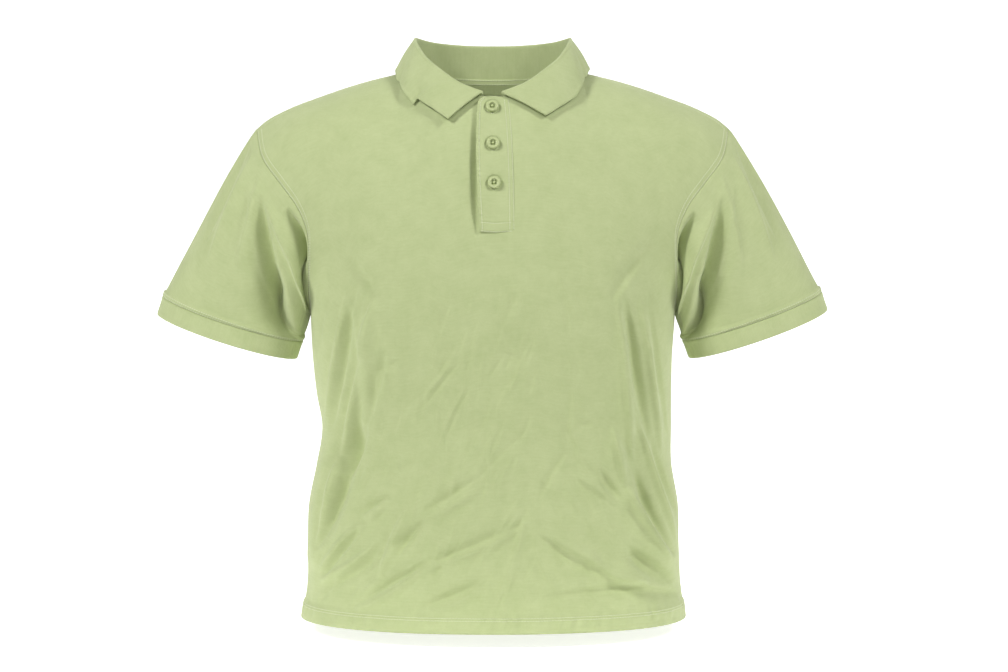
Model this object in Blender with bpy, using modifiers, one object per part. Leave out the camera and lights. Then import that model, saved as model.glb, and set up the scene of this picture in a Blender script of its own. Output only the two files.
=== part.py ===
"""A short-sleeved polo shirt, filled out as if worn, with nobody inside it.

Metres, +Z up. The front faces -Y and the wearer's left is +X. The origin is the middle of the neck's
base, where the wearer's shoulders carry the shirt.

A panel is a sheet of points over (u, v). u runs across it, from -1 at the wearer's right side seam or
armhole to 1 at the left one. v runs up it, from -1 at the hem through 0 at the underarm to 1 at the top,
where its middle is the neckline and its ends are the shoulder seams.
"""

import math

import bpy
import numpy as np
from mathutils import Vector

NAME = "polo_shirt"
FRONT = -1
BACK = 1
RIGHT = -1
LEFT = 1

# cloth
CLOTH = 0.0016
HEM_CLOTH = 0.0026
RIB = 0.0022
TAPE = 0.001
TAPE_SHARES = (0.03, 0.275, 0.55)  # its rows, as shares of the way to the stand's first row
TAPE_ANGLE = 89  # how far it runs to each side of the back's middle
SEAM_GAP = 0.0003
ARMHOLE_GAP = 0.0006  # before the rims lean to each other in the seam's valley
VALLEY_START, VALLEY_SOFT = -0.1, 0.4  # the likeness of two normals where a seam counts as a valley

# levels and depths of the body
HEM_Z = -0.629
UNDERARM_Z = -0.277
CENTRE_LEAN = 0.028  # how far the front's middle drifts to the wearer's left, as a share of the panel

# neckline
NECK_HALF_WIDTH = 0.1
NECK_HALF_DEPTH = 0.078
NECK_Y = -0.010
NECK_FRONT_Z = -0.038
NECK_SIDE_Z = 0.003
NECK_BACK_Z = -0.001
NECK_SHARE = 0.45  # the part of a panel's top, from its middle, that is neckline
NECK_SPREAD = 1.4

# z: half width on the right, on the left, depth in front, depth behind, squareness of the section
BODY_SECTIONS = (
    (-0.629, 0.2215, 0.2230, 0.127, 0.118, 2.30),
    (-0.600, 0.2165, 0.2190, 0.126, 0.117, 2.30),
    (-0.550, 0.2140, 0.2154, 0.124, 0.115, 2.30),
    (-0.500, 0.2128, 0.2142, 0.122, 0.113, 2.30),
    (-0.450, 0.2035, 0.2072, 0.120, 0.111, 2.30),
    (-0.408, 0.1985, 0.2080, 0.119, 0.109, 2.30),
    (-0.373, 0.2046, 0.2084, 0.121, 0.110, 2.32),
    (-0.330, 0.2093, 0.2090, 0.124, 0.113, 2.35),
    (-0.277, 0.2120, 0.2120, 0.127, 0.117, 2.35),
    (-0.250, 0.2130, 0.2130, 0.128, 0.118, 2.35),
)

# share of the shoulder from neck to tip: x, y, z of its seam
SHOULDER_SEAM = (
    (0.00, 0.1000, -0.010, 0.0030),
    (0.28, 0.1490, -0.015, -0.0110),
    (0.57, 0.2000, -0.016, -0.0275),
    (0.80, 0.2400, -0.014, -0.0425),
    (0.93, 0.2630, -0.012, -0.0545),
    (1.00, 0.2750, -0.010, -0.0640),
)

# height share v: x, y, z of the armhole's front edge, then y and z of its back edge
ARMHOLE = (
    (0.00, 0.2120, 0.000, -0.277, 0.000, -0.277),
    (0.12, 0.2110, -0.034, -0.260, 0.034, -0.259),
    (0.27, 0.2080, -0.062, -0.226, 0.058, -0.223),
    (0.42, 0.2080, -0.070, -0.190, 0.066, -0.184),
    (0.57, 0.2200, -0.067, -0.160, 0.066, -0.151),
    (0.72, 0.2400, -0.058, -0.133, 0.058, -0.120),
    (0.86, 0.2630, -0.041, -0.102, 0.037, -0.088),
    (1.00, 0.2750, -0.010, -0.064, -0.010, -0.064),
)
ARMHOLE_PULL = 3.5  # how closely the armhole's own shape stays near the edge of a panel

# |u|: how a column of a panel leaves the underarm's level (along the section, up)
# and the point x, y, z that it makes for before it bends to the top
FRONT_RISE = (
    (0.00, 0.000, 0.090, 0.0000, -0.120, -0.113),
    (0.25, 0.000, 0.090, 0.0640, -0.113, -0.092),
    (0.45, 0.000, 0.095, 0.1080, -0.098, -0.058),
    (0.60, 0.000, 0.100, 0.1450, -0.090, -0.043),
    (0.80, 0.030, 0.095, 0.1995, -0.087, -0.062),
    (0.92, 0.065, 0.070, 0.2297, -0.079, -0.093),
    (1.00, 0.090, 0.050, 0.2450, -0.072, -0.134),
)
BACK_RISE = (
    (0.00, 0.000, 0.120, 0.0000, 0.102, -0.041),
    (0.25, 0.000, 0.120, 0.0640, 0.095, -0.018),
    (0.45, 0.000, 0.120, 0.1080, 0.080, 0.014),
    (0.60, 0.000, 0.115, 0.1450, 0.072, 0.024),
    (0.80, 0.030, 0.105, 0.2015, 0.070, 0.002),
    (0.92, 0.065, 0.080, 0.2347, 0.067, -0.034),
    (1.00, 0.090, 0.055, 0.2550, 0.065, -0.074),
)
SOFT_TOP = (0, 0.12, 0.26, 0.60, 0.80, 0.92, 1)  # the top edge's places that a panel keeps below its corner
CORNER_REACH = 8  # how closely the neckline's corner stays near the top edge

# sleeve
CUFF_INNER = {RIGHT: (0.2292, -0.3307), LEFT: (0.2292, -0.3297)}
CUFF_OUTER = {RIGHT: (0.3918, -0.2781), LEFT: (0.3908, -0.2730)}
CUFF_HALF_DEPTH = 0.043
CUFF_DIP = 0.0080
CUFF_BAND = 0.022
CUFF_PROUD = 0.0005
SLEEVE_HANDLE = 0.3
SLEEVE_LIFT = 0.2
SLEEVE_WAY = (0.96, -0.28)  # x and z of the way that its top runs from the shoulder

# collar: angle round the neck from the middle of the back
FOLD_HALF_WIDTH = 0.090
FOLD_BACK_DEPTH = 0.072
FOLD_FRONT_DEPTH = 0.0795
FOLD_RADIUS = 0.0024
LEAF_BULGE = 0.0015
FOLD_HEIGHT = (
    (0, 0.0460),
    (50, 0.0452),
    (80, 0.0440),
    (88, 0.0425),
    (98, 0.0365),
    (110, 0.0262),
    (123, 0.0118),
    (137, -0.0022),
    (158, -0.0233),
    (173.3, -0.0330),
)

# angle: the place (u, v) on the front or back panel that the leaf's edge lies over, and how far above
LEAF_BACK = (
    (0, 0.000, 0.925, 0.006),
    (20, 0.162, 0.923, 0.006),
    (40, 0.276, 0.923, 0.006),
    (55, 0.361, 0.916, 0.006),
    (65, 0.417, 0.913, 0.006),
    (75, 0.462, 0.930, 0.006),
    (83, 0.479, 0.964, 0.006),
    (90, 0.488, 1.000, 0.005),
)
LEAF_FRONT_RIGHT = (
    (90.0, 0.492, 1.000, 0.005),
    (98.3, 0.470, 0.925, 0.007),
    (109.0, 0.405, 0.883, 0.009),
    (121.7, 0.354, 0.851, 0.005),
    (127.8, 0.327, 0.894, 0.007),
    (150.0, 0.259, 0.868, 0.006),
    (173.3, 0.197, 0.828, 0.006),
)
LEAF_FRONT_LEFT = (
    (90.0, 0.485, 1.000, 0.005),
    (98.3, 0.447, 0.952, 0.007),
    (109.0, 0.402, 0.905, 0.008),
    (121.7, 0.372, 0.878, 0.006),
    (150.0, 0.294, 0.866, 0.006),
    (173.3, 0.231, 0.840, 0.008),
)
# the crease across the right leaf: its angle at the fold and at the free edge, the angle that it takes
# to rise, and how far it stands out
LEAF_CREASE = (149, 125, 5, 0.0015)

# placket, as shares of the front panel
SLOT_HALF = 0.07
STRIP_RIGHT = -0.083
STRIP_LEFT = 0.096
SLOT_Z = -0.181
STRIP_Z = -0.193
STRIP_TOP_Z = -0.0408
STRIP_CORNER = 0.009
CORNER_TURNS = (25, 45, 65, 90)
STRIP_LIFT = 0.0005

# buttons
BUTTON_Z = (-0.0520, -0.0942, -0.1381)
BUTTON_LIFT = 0.0008
BUTTON_RADIUS = 0.007
BUTTON_THICKNESS = 0.0026
BUTTON_RIM = 0.0022
BUTTON_DISH = 0.0007
HOLE_RADIUS = 0.0008
HOLE_PITCH = 0.0015

# start x and z, end x and z, half width, and how far a large fold stands out (+) or sinks in (-)
FRONT_FOLDS = (
    (-0.160, -0.300, -0.154, -0.427, 0.018, -0.0035),
    (-0.154, -0.427, -0.193, -0.531, 0.016, -0.0055),
    (-0.190, -0.453, -0.206, -0.556, 0.011, 0.0030),
    (0.138, -0.426, 0.156, -0.485, 0.011, 0.0030),
    (0.156, -0.485, 0.198, -0.556, 0.011, 0.0035),
    (0.150, -0.426, 0.172, -0.485, 0.010, -0.0030),
    (0.166, -0.540, 0.200, -0.590, 0.014, -0.0030),
    (0.020, -0.330, -0.060, -0.470, 0.020, -0.0020),
    (-0.178, -0.215, -0.150, -0.285, 0.018, -0.0030),
    (0.180, -0.215, 0.155, -0.290, 0.018, -0.0030),
)
BACK_FOLDS = (
    (-0.150, -0.300, -0.120, -0.440, 0.020, -0.0040),
    (-0.120, -0.440, -0.165, -0.550, 0.018, -0.0050),
    (0.155, -0.290, 0.135, -0.420, 0.020, -0.0040),
    (0.135, -0.420, 0.175, -0.540, 0.018, -0.0045),
    (0.010, -0.360, 0.070, -0.500, 0.022, -0.0030),
    (-0.175, -0.200, -0.140, -0.290, 0.018, -0.0035),
    (0.178, -0.200, 0.150, -0.280, 0.018, -0.0035),
)
# turn round the sleeve, start and end along it, half width as a share of a turn, depth
SLEEVE_FOLDS = (
    (0.34, 0.10, 0.75, 0.060, -0.0050),
    (0.52, 0.05, 0.95, 0.070, -0.0050),
    (0.43, 0.10, 0.90, 0.040, 0.0030),
    (0.72, 0.10, 0.70, 0.060, 0.0025),
    (1.30, 0.05, 0.80, 0.070, -0.0040),
    (1.55, 0.10, 0.90, 0.070, -0.0045),
    (1.75, 0.10, 0.80, 0.060, -0.0035),
)

# where folds fade out: the power of |u| at a panel's sides, the share of v below its top, and along a sleeve
SIDE_FADE = 12
TOP_FADE = 0.2
SLEEVE_FADE_START, SLEEVE_FADE_END, SLEEVE_FOLD_FADE = 0.15, 0.12, 0.15

# how finely each piece is divided
HALF_COLUMNS = (
    0, 0.035, 0.07, 0.13, 0.18, 0.23, 0.28, 0.305, 0.33, 0.38, 0.42, 0.45,
    0.52, 0.60, 0.68, 0.76, 0.84, 0.91, 0.96, 1,
)
BODY_LEVELS = (-0.629, -0.613, -0.611, -0.58, -0.55, -0.52, -0.49, -0.46, -0.43, -0.40, -0.37, -0.34, -0.305)
RISE_ROWS = (0, 0.06, 0.13, 0.21, 0.30, 0.39, 0.48, 0.57, 0.66, 0.75, 0.83, 0.90, 0.95, 1)
SLEEVE_ROWS = 8
STAND_ROWS = 3
FOLD_ROWS = 4
LEAF_ROWS = 5
STRIP_GRID = (9, 9)  # columns, rows
UNDER_STRIP_GRID = (5, 12)
HEIGHT_STEPS = 201
TURNED_STEPS = 32

GREEN = (0.52, 0.60, 0.29, 1)
BUTTON_GREEN = (0.50, 0.58, 0.28, 1)


# ---------------------------------------------------------------- curves and sheets of points


def unit(vectors):
    return vectors / np.linalg.norm(vectors, axis=-1, keepdims=True)


def through(at, table):
    """The smooth curve through a table's rows, whose first column says where each row is."""
    rows = np.asarray(table, float)
    knots, values = rows[:, 0], rows[:, 1:]
    slopes = np.gradient(values, knots, axis=0)
    at = np.asarray(at, float)
    row = np.clip(np.searchsorted(knots, at, side="right") - 1, 0, len(knots) - 2)
    span = (knots[row + 1] - knots[row])[..., None]
    t = (at[..., None] - knots[row][..., None]) / span
    start = (1 + 2 * t) * (1 - t) ** 2 * values[row] + t * (1 - t) ** 2 * span * slopes[row]
    end = t * t * (3 - 2 * t) * values[row + 1] - t * t * (1 - t) * span * slopes[row + 1]
    return start + end


def columns(at, table):
    """The same, with each of the table's columns by itself."""
    return np.moveaxis(through(at, table), -1, 0)


def bezier(t, start, leave, reach, end):
    t = t[..., None]
    return (
        (1 - t) ** 3 * start
        + 3 * t * (1 - t) ** 2 * leave
        + 3 * t * t * (1 - t) * reach
        + t**3 * end
    )


def normals_of(surface, u, v):
    """The outward normals of a surface, with v within -1 and 1."""
    step = 2e-3
    u_low, u_high = np.clip(u - step, -1, 1), np.clip(u + step, -1, 1)
    v_low, v_high = np.clip(v - step, -1, 1), np.clip(v + step, -1, 1)
    across = surface(u_high, v) - surface(u_low, v)
    up = surface(u, v_high) - surface(u, v_low)
    return unit(np.cross(across, up))


# ---------------------------------------------------------------- body


def section(angle, width, depth, squareness):
    """A point of a rounded section, at an angle from the middle of its panel."""
    across = np.abs(np.sin(angle)) / width
    away = np.abs(np.cos(angle)) / depth
    reach = (across**squareness + away**squareness) ** (-1 / squareness)
    return np.sin(angle) * reach, np.cos(angle) * reach


def torso(face, u, z):
    """The front or back at a level below the underarm."""
    right, left, front, back, squareness = columns(z, BODY_SECTIONS)
    lean = CENTRE_LEAN * (1 - u * u) if face == FRONT else 0
    x, y = section(
        (u + lean) * math.pi / 2,
        np.where(u < 0, right, left),
        front if face == FRONT else back,
        squareness,
    )
    return np.stack([x, face * y, z], -1)


def top_edge(face, u):
    """The neckline, and past NECK_SHARE the shoulder seam."""
    side, size = np.sign(u), np.abs(u)
    angle = np.minimum(size / NECK_SHARE, 1) ** NECK_SPREAD * math.pi / 2
    low = NECK_FRONT_Z if face == FRONT else NECK_BACK_Z
    neckline = np.stack(
        [
            NECK_HALF_WIDTH * np.sin(angle),
            NECK_Y + face * NECK_HALF_DEPTH * np.cos(angle),
            low + (NECK_SIDE_Z - low) * (1 - np.cos(angle)),
        ],
        -1,
    )
    share = np.clip((size - NECK_SHARE) / (1 - NECK_SHARE), 0, 1)
    edge = np.where((size <= NECK_SHARE)[..., None], neckline, through(share, SHOULDER_SEAM))
    edge[..., 0] *= side
    return edge


def soft_top(face, u):
    """The top edge with its corner at the neck smoothed away."""
    size = np.array(SOFT_TOP, float)
    edge = through(np.abs(u), np.column_stack([size, top_edge(face, size)]))
    return edge * np.stack([np.where(u < 0, -1.0, 1.0), np.ones(np.shape(u)), np.ones(np.shape(u))], -1)


def rise(face, u, v):
    """A column of a panel from the underarm's level to its top, as one free curve."""
    level = np.full(np.shape(u), UNDERARM_Z)
    low, soft = torso(face, u, level), soft_top(face, u)
    side = np.where(u < 0, -1.0, 1.0)
    inward = unit(torso(face, u - side * 1e-3, level) - low)
    along, up, x, y, z = columns(np.abs(u), FRONT_RISE if face == FRONT else BACK_RISE)
    leave = low + inward * along[..., None] + np.stack([0 * up, 0 * up, up], -1)
    curve = bezier(v, low, leave, np.stack([side * x, y, z], -1), soft)
    return curve + (top_edge(face, u) - soft) * np.power(v, CORNER_REACH)[..., None]


def armhole(face, side, v):
    """The seam between a panel and the sleeve, from the underarm to the shoulder's tip."""
    x, y_front, z_front, y_back, z_back = columns(v, ARMHOLE)
    front = face == FRONT
    return np.stack([side * x, np.where(front, y_front, y_back), np.where(front, z_front, z_back)], -1)


def panel(face, u, v):
    """The outer side of the front or back, with no folds."""
    below = torso(face, u, UNDERARM_Z + (UNDERARM_Z - HEM_Z) * np.minimum(v, 0))
    w = np.maximum(v, 0)
    side = np.where(u < 0, -1.0, 1.0)
    pull = (np.abs(u) ** ARMHOLE_PULL)[..., None]
    above = rise(face, u, w) + pull * (armhole(face, side, w) - rise(face, side, w))
    return np.where((v < 0)[..., None], below, above)


def fold_depth(x, z, folds):
    """How far the cloth is moved by the folds at a place seen from the front or back."""
    depth = np.zeros(np.shape(x))
    for x_start, z_start, x_end, z_end, half_width, height in folds:
        length = math.hypot(x_end - x_start, z_end - z_start)
        across, down = (x_end - x_start) / length, (z_end - z_start) / length
        along = np.clip((x - x_start) * across + (z - z_start) * down, 0, length)
        away = np.hypot(x - x_start - along * across, z - z_start - along * down)
        depth += height * np.exp(-((away / half_width) ** 2))
    return depth


def draped(face, u, v):
    """Outer points and normals of the front or back, with its largest folds."""
    normals = face_out(face, normals_of(lambda a, b: panel(face, a, b), u, v))
    points = panel(face, u, v)
    folds = FRONT_FOLDS if face == FRONT else BACK_FOLDS
    free = (1 - np.abs(u) ** SIDE_FADE) * np.clip((1 - v) / TOP_FADE, 0, 1)
    points = points + normals * (free * fold_depth(points[..., 0], points[..., 2], folds))[..., None]
    return points, normals


def face_out(face, normals):
    """Normals that point out of the body: a back's grid runs the other way round."""
    return normals * -face


# ---------------------------------------------------------------- sleeves


def band_edge(side, turn, above):
    """The sleeve's end, a distance above the edge of its opening."""
    (x_inner, z_inner), (x_outer, z_outer) = CUFF_INNER[side], CUFF_OUTER[side]
    inner, outer = np.array([x_inner, 0, z_inner]), np.array([x_outer, 0, z_outer])
    chord = outer - inner
    axis = unit(np.array([chord[2], 0, -chord[0]]))
    angle = turn * math.pi
    points = (
        (inner + outer) / 2
        - chord / 2 * np.cos(angle)[..., None]
        + np.array([0, -CUFF_HALF_DEPTH, -CUFF_DIP]) * np.sin(angle)[..., None]
        - axis * np.asarray(above)[..., None]
    )
    return points * np.array([side, 1, 1])


def sleeve(side, turn, along):
    """A sleeve's outer side. turn is 0 at the underarm, 1 at the shoulder's tip and 2 at the underarm
    again, by way of the front; along is 0 at the armhole and 1 at the band."""
    w = np.where(turn <= 1, turn, 2 - turn)
    start = np.where((turn <= 1)[..., None], armhole(FRONT, side, w), armhole(BACK, side, w))
    end = band_edge(side, turn, np.full(np.shape(turn), CUFF_BAND))
    chord = end - start
    length = np.linalg.norm(chord, axis=-1, keepdims=True)
    out = unit(np.array([SLEEVE_WAY[0] * side, 0, SLEEVE_WAY[1]]))
    lift = np.sin(np.minimum(w, 1) * math.pi / 2)[..., None] ** 2
    leave = unit(chord / length + out * SLEEVE_LIFT * lift)
    return bezier(
        along,
        start,
        start + leave * length * SLEEVE_HANDLE,
        end - chord * SLEEVE_HANDLE,
        end,
    )


def sleeve_fold_depth(turn, along):
    depth = np.zeros(np.shape(turn))
    for middle, start, end, half_width, height in SLEEVE_FOLDS:
        away = (turn - middle) / half_width
        past = np.maximum(np.maximum(start - along, along - end), 0) / SLEEVE_FOLD_FADE
        depth += height * np.exp(-(away**2) - past**2)
    fade_in = np.clip(along / SLEEVE_FADE_START, 0, 1)
    fade_out = np.clip((1 - along) / SLEEVE_FADE_END, 0, 1)
    return depth * fade_in * fade_out


def tube_normals(points, side):
    """Outward normals of a tube, whose rows are rings from its upper end to its lower one."""
    around = np.roll(points, -1, axis=1) - np.roll(points, 1, axis=1)
    down = np.gradient(points, axis=0)
    return unit(np.cross(down, around)) * side


# ---------------------------------------------------------------- collar


def neck_angle(face, u):
    """The angle round the neck from the middle of the back, on the right of it less than 0."""
    angle = (np.abs(u) / NECK_SHARE) ** NECK_SPREAD * 90
    return np.sign(u) * (angle if face == BACK else 180 - angle)


def fold_line(angle):
    """The highest line of the collar, where it turns down, and the way out from the neck there."""
    turn = np.radians(angle)
    depth = np.where(np.cos(turn) > 0, FOLD_BACK_DEPTH, FOLD_FRONT_DEPTH)
    height = through(np.abs(angle), FOLD_HEIGHT)[..., 0]
    points = np.stack([FOLD_HALF_WIDTH * np.sin(turn), NECK_Y + depth * np.cos(turn), height], -1)
    out = np.stack([np.sin(turn) / FOLD_HALF_WIDTH, np.cos(turn) / depth, 0 * turn], -1)
    return points, unit(out)


def straight_columns(at, table):
    """Each column of a table, read with straight runs between its rows."""
    rows = np.asarray(table, float)
    return [np.interp(at, rows[:, 0], column) for column in rows[:, 1:].T]


def leaf_edge(angle):
    """The collar's free edge, a little above the panels that it lies over."""
    points = np.zeros(np.shape(angle) + (3,))
    for face, side, table in (
        (BACK, RIGHT, LEAF_BACK),
        (BACK, LEFT, LEAF_BACK),
        (FRONT, RIGHT, LEAF_FRONT_RIGHT),
        (FRONT, LEFT, LEAF_FRONT_LEFT),
    ):
        here = (np.abs(angle) <= 90) == (face == BACK)
        here &= (angle < 0) == (side == RIGHT)
        u, v, above = straight_columns(np.abs(angle[here]), table)
        on_panel, normals = draped(face, side * u, np.minimum(v, 1))
        points[here] = on_panel + normals * above[:, None]
    return points


def crease(angle, share):
    """How far the right leaf stands out in front of its crease, share of the way down the leaf."""
    at_fold, at_edge, soft, height = LEAF_CREASE
    past = (-angle - at_fold - (at_edge - at_fold) * share) / soft
    return height * np.clip(past, 0, 1)


def collar(angle, neck_seam):
    """The collar's face: up the inside of the stand, over the fold and down the outside of the leaf."""
    fold, out = fold_line(angle)
    edge = leaf_edge(angle)
    up = np.array([0, 0, 1.0])
    crown = fold - up * FOLD_RADIUS
    foot = neck_seam - out * (CLOTH + 2 * SEAM_GAP)
    rows = []
    for share in np.linspace(0, 1, STAND_ROWS + 1):
        rows.append(foot + (crown - out * FOLD_RADIUS - foot) * share)
    for share in np.linspace(0, 1, FOLD_ROWS + 1)[1:]:
        turn = share * math.pi
        rows.append(crown + FOLD_RADIUS * (up * math.sin(turn) - out * math.cos(turn)))
    start = rows[-1]
    for share in np.linspace(0, 1, LEAF_ROWS + 1)[1:]:
        swell = LEAF_BULGE * math.sin(share * math.pi) + crease(angle, share)
        rows.append(start + (edge - start) * share + unit(out + up) * swell[:, None])
    return np.stack(rows)


# ---------------------------------------------------------------- walls of cloth


def inset(points, axis, end, by, closed=False):
    """Moves one edge of a grid in along the cloth, square to that edge."""
    grid = np.moveaxis(points, axis, 0)
    edge, inner = (grid[-1], grid[-2]) if end else (grid[0], grid[1])
    if closed:
        along = unit(np.roll(edge, -1, axis=0) - np.roll(edge, 1, axis=0))
    else:
        along = unit(np.gradient(edge, axis=0))
    inward = inner - edge
    inward = inward - along * np.sum(inward * along, axis=-1, keepdims=True)
    edge += by * unit(inward)


def sew(first, second):
    """Gives two edges that are sewn together the same normals, so that their rims face each other.
    In a deep valley, where the normals point at each other, each keeps its own."""
    alike = np.sum(first * second, axis=-1, keepdims=True)
    share = np.clip((alike - VALLEY_START) / VALLEY_SOFT, 0, 1) / 2
    first[...], second[...] = (
        unit(first * (1 - share) + second * share),
        unit(second * (1 - share) + first * share),
    )


def wall(name, outer, normals, thickness, colour, closed=False, left_out=None):
    """A closed wall between a grid of outer points and the same points moved in by its thickness."""
    rows, across = outer.shape[:2]
    cells_across = across if closed else across - 1
    kept = np.ones((rows - 1, cells_across), bool)
    if left_out is not None:
        kept &= ~left_out
    inner = outer - normals * np.broadcast_to(thickness, (rows, across))[..., None]
    count = rows * across

    def corner(row, column, inside):
        return row * across + column % across + (count if inside else 0)

    faces = []
    for row in range(rows - 1):
        for column in range(cells_across):
            if not kept[row, column]:
                continue
            ring = [(row, column), (row, column + 1), (row + 1, column + 1), (row + 1, column)]
            faces.append([corner(r, c, False) for r, c in ring])
            faces.append([corner(r, c, True) for r, c in reversed(ring)])
            beside = [(row - 1, column), (row, column + 1), (row + 1, column), (row, column - 1)]
            for place, (r, c) in enumerate(beside):
                if closed:
                    c %= cells_across
                if 0 <= r < rows - 1 and 0 <= c < cells_across and kept[r, c]:
                    continue
                start, end = ring[place], ring[(place + 1) % 4]
                faces.append(
                    [corner(*end, False), corner(*start, False), corner(*start, True), corner(*end, True)]
                )
    diagonal, other_diagonal = outer[1:, 1:] - outer[:-1, :-1], outer[1:, :-1] - outer[:-1, 1:]
    if np.sum(np.cross(diagonal, other_diagonal) * normals[:-1, :-1]) < 0:
        faces = [face[::-1] for face in faces]
    used = sorted({vertex for face in faces for vertex in face})
    place_of = {vertex: place for place, vertex in enumerate(used)}
    points = np.concatenate([outer.reshape(-1, 3), inner.reshape(-1, 3)])[used]
    mesh = bpy.data.meshes.new(name)
    mesh.from_pydata(points.tolist(), [], [[place_of[vertex] for vertex in face] for face in faces])
    mesh.shade_smooth()
    mesh.set_sharp_from_angle(angle=math.radians(50))
    return add(name, mesh, colour)


def add(name, mesh, colour):
    mesh.name = name
    thing = bpy.data.objects.new(name, mesh)
    material = bpy.data.materials.new(name)
    material.use_nodes = True
    shader = material.node_tree.nodes["Principled BSDF"]
    shader.inputs["Base Color"].default_value = colour
    shader.inputs["Roughness"].default_value = 0.4 if colour == BUTTON_GREEN else 0.9
    mesh.materials.append(material)
    PARTS.objects.link(thing)
    return thing


# ---------------------------------------------------------------- pieces


def body_grid():
    """The (u, v) places of both panels: rows from the hem up, columns from right to left."""
    half = np.array(HALF_COLUMNS)
    u = np.concatenate([-half[:0:-1], half])
    levels = (np.array(BODY_LEVELS) - UNDERARM_Z) / (UNDERARM_Z - HEM_Z)
    v = np.concatenate([levels, RISE_ROWS])
    return np.meshgrid(u, v)


def row_of_height(z):
    """The v of a height on the middle of the front."""
    v = np.linspace(0, 1, HEIGHT_STEPS)
    heights = panel(FRONT, np.zeros(v.shape), v)[:, 2]
    return np.interp(z, heights, v)


def make_shirt():
    u, v = body_grid()
    underarm = len(BODY_LEVELS)
    slot_row = int(np.argmin(np.abs(v[:, 0] - row_of_height(SLOT_Z))))
    v[slot_row] = row_of_height(SLOT_Z)
    front, front_normals = draped(FRONT, u, v)
    back, back_normals = draped(BACK, u, v)
    thickness = np.where(v < v[1, 0] + 1e-6, HEM_CLOTH, CLOTH)

    # each sleeve's rings start from the armhole's own points, forward round to the tip and back down
    turn = np.concatenate([v[underarm:, 0], 2 - v[underarm + 1 : -1, 0][::-1]])
    along = np.linspace(0, 1, SLEEVE_ROWS + 1)
    turns, alongs = np.meshgrid(turn, along)
    sleeves = {}
    for side in (RIGHT, LEFT):
        smooth = sleeve(side, turns, alongs)
        normals = tube_normals(smooth, side)
        points = smooth + normals * sleeve_fold_depth(turns, alongs)[..., None]
        sleeves[side] = points, normals

    # sewn edges
    neck = np.abs(u[0]) <= NECK_SHARE + 1e-6
    shoulder = np.abs(u[0]) >= NECK_SHARE - 1e-6
    for column in (0, -1):
        sew(front_normals[: underarm + 1, column], back_normals[: underarm + 1, column])
    top_front, top_back = front_normals[-1][shoulder], back_normals[-1][shoulder]
    sew(top_front, top_back)
    front_normals[-1, shoulder], back_normals[-1, shoulder] = top_front, top_back
    rise_count = len(RISE_ROWS)
    for side, column in ((RIGHT, 0), (LEFT, -1)):
        ring = sleeves[side][1][0]
        forward, backward = ring[:rise_count], np.concatenate([ring[rise_count - 1 :], ring[:1]])[::-1]
        sew(front_normals[underarm:, column], forward)
        sew(back_normals[underarm:, column], backward)
        ring[:rise_count] = forward
        ring[rise_count:] = backward[::-1][1:-1]

    # the collar's foot runs from the front's right edge of the slot round the back to its left edge
    seat = neck & (np.abs(u[0]) >= SLOT_HALF - 1e-6)
    columns_right = np.flatnonzero(seat & (u[0] < 0))[::-1]
    columns_left = np.flatnonzero(seat & (u[0] > 0))[::-1]
    columns_back = np.flatnonzero(neck)[1:-1]
    foot = np.concatenate([front[-1, columns_right], back[-1, columns_back], front[-1, columns_left]])
    angle = np.concatenate(
        [
            neck_angle(FRONT, u[0, columns_right]),
            neck_angle(BACK, u[0, columns_back]),
            neck_angle(FRONT, u[0, columns_left]),
        ]
    )
    make_collar(angle, foot)

    gap = SEAM_GAP / 2
    side_gap = np.where(v[:, :1] > 0, ARMHOLE_GAP / 2, gap)
    for points in (front, back):
        inset(points, 1, 0, side_gap)
        inset(points, 1, 1, side_gap)
        inset(points, 0, 1, ARMHOLE_GAP / 2)
    middle_cells = (np.abs(u[0, :-1] + u[0, 1:]) / 2) < SLOT_HALF
    slot = (v[:-1, 0] >= v[slot_row, 0] - 1e-6)[:, None] & middle_cells[None, :]
    wall("front", front, front_normals, thickness, GREEN, left_out=slot)
    wall("back", back, back_normals, thickness, GREEN)

    for side, name in ((RIGHT, "right"), (LEFT, "left")):
        points, normals = sleeves[side]
        cuff = cuff_rings(side, turns[0])
        cuff_normals = tube_normals(cuff, side)
        sew(normals[-1], cuff_normals[0])
        inset(points, 0, 0, ARMHOLE_GAP / 2, closed=True)
        inset(points, 0, 1, gap, closed=True)
        wall(f"sleeve_{name}", points, normals, CLOTH, GREEN, closed=True)
        inset(cuff, 0, 0, SEAM_GAP, closed=True)
        wall(
            f"cuff_{name}",
            cuff + cuff_normals * CUFF_PROUD,
            cuff_normals,
            RIB,
            GREEN,
            closed=True,
        )
    make_placket(v[slot_row, 0])


def cuff_rings(side, turn):
    """Rings at the cuff band's upper edge, middle and lower edge."""
    heights = (CUFF_BAND, CUFF_BAND / 2, 0)
    return np.stack([band_edge(side, turn, np.full(turn.shape, above)) for above in heights])


def make_collar(angle, foot):
    face = collar(angle, foot)
    normals = unit(np.cross(np.gradient(face, axis=1), np.gradient(face, axis=0)))
    wall("collar", face, normals, CLOTH, GREEN)

    # the tape lies on the inside of the stand, from one shoulder to the other
    behind = np.abs(angle) < TAPE_ANGLE
    low, high = face[0, behind], face[1, behind]
    tape = np.stack([low + (high - low) * share for share in TAPE_SHARES])
    tape_normals = np.broadcast_to(unit(normals[0, behind] + normals[1, behind]), tape.shape)
    wall("neck_tape", tape + tape_normals * (2 * SEAM_GAP + TAPE), tape_normals, TAPE, GREEN)


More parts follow.
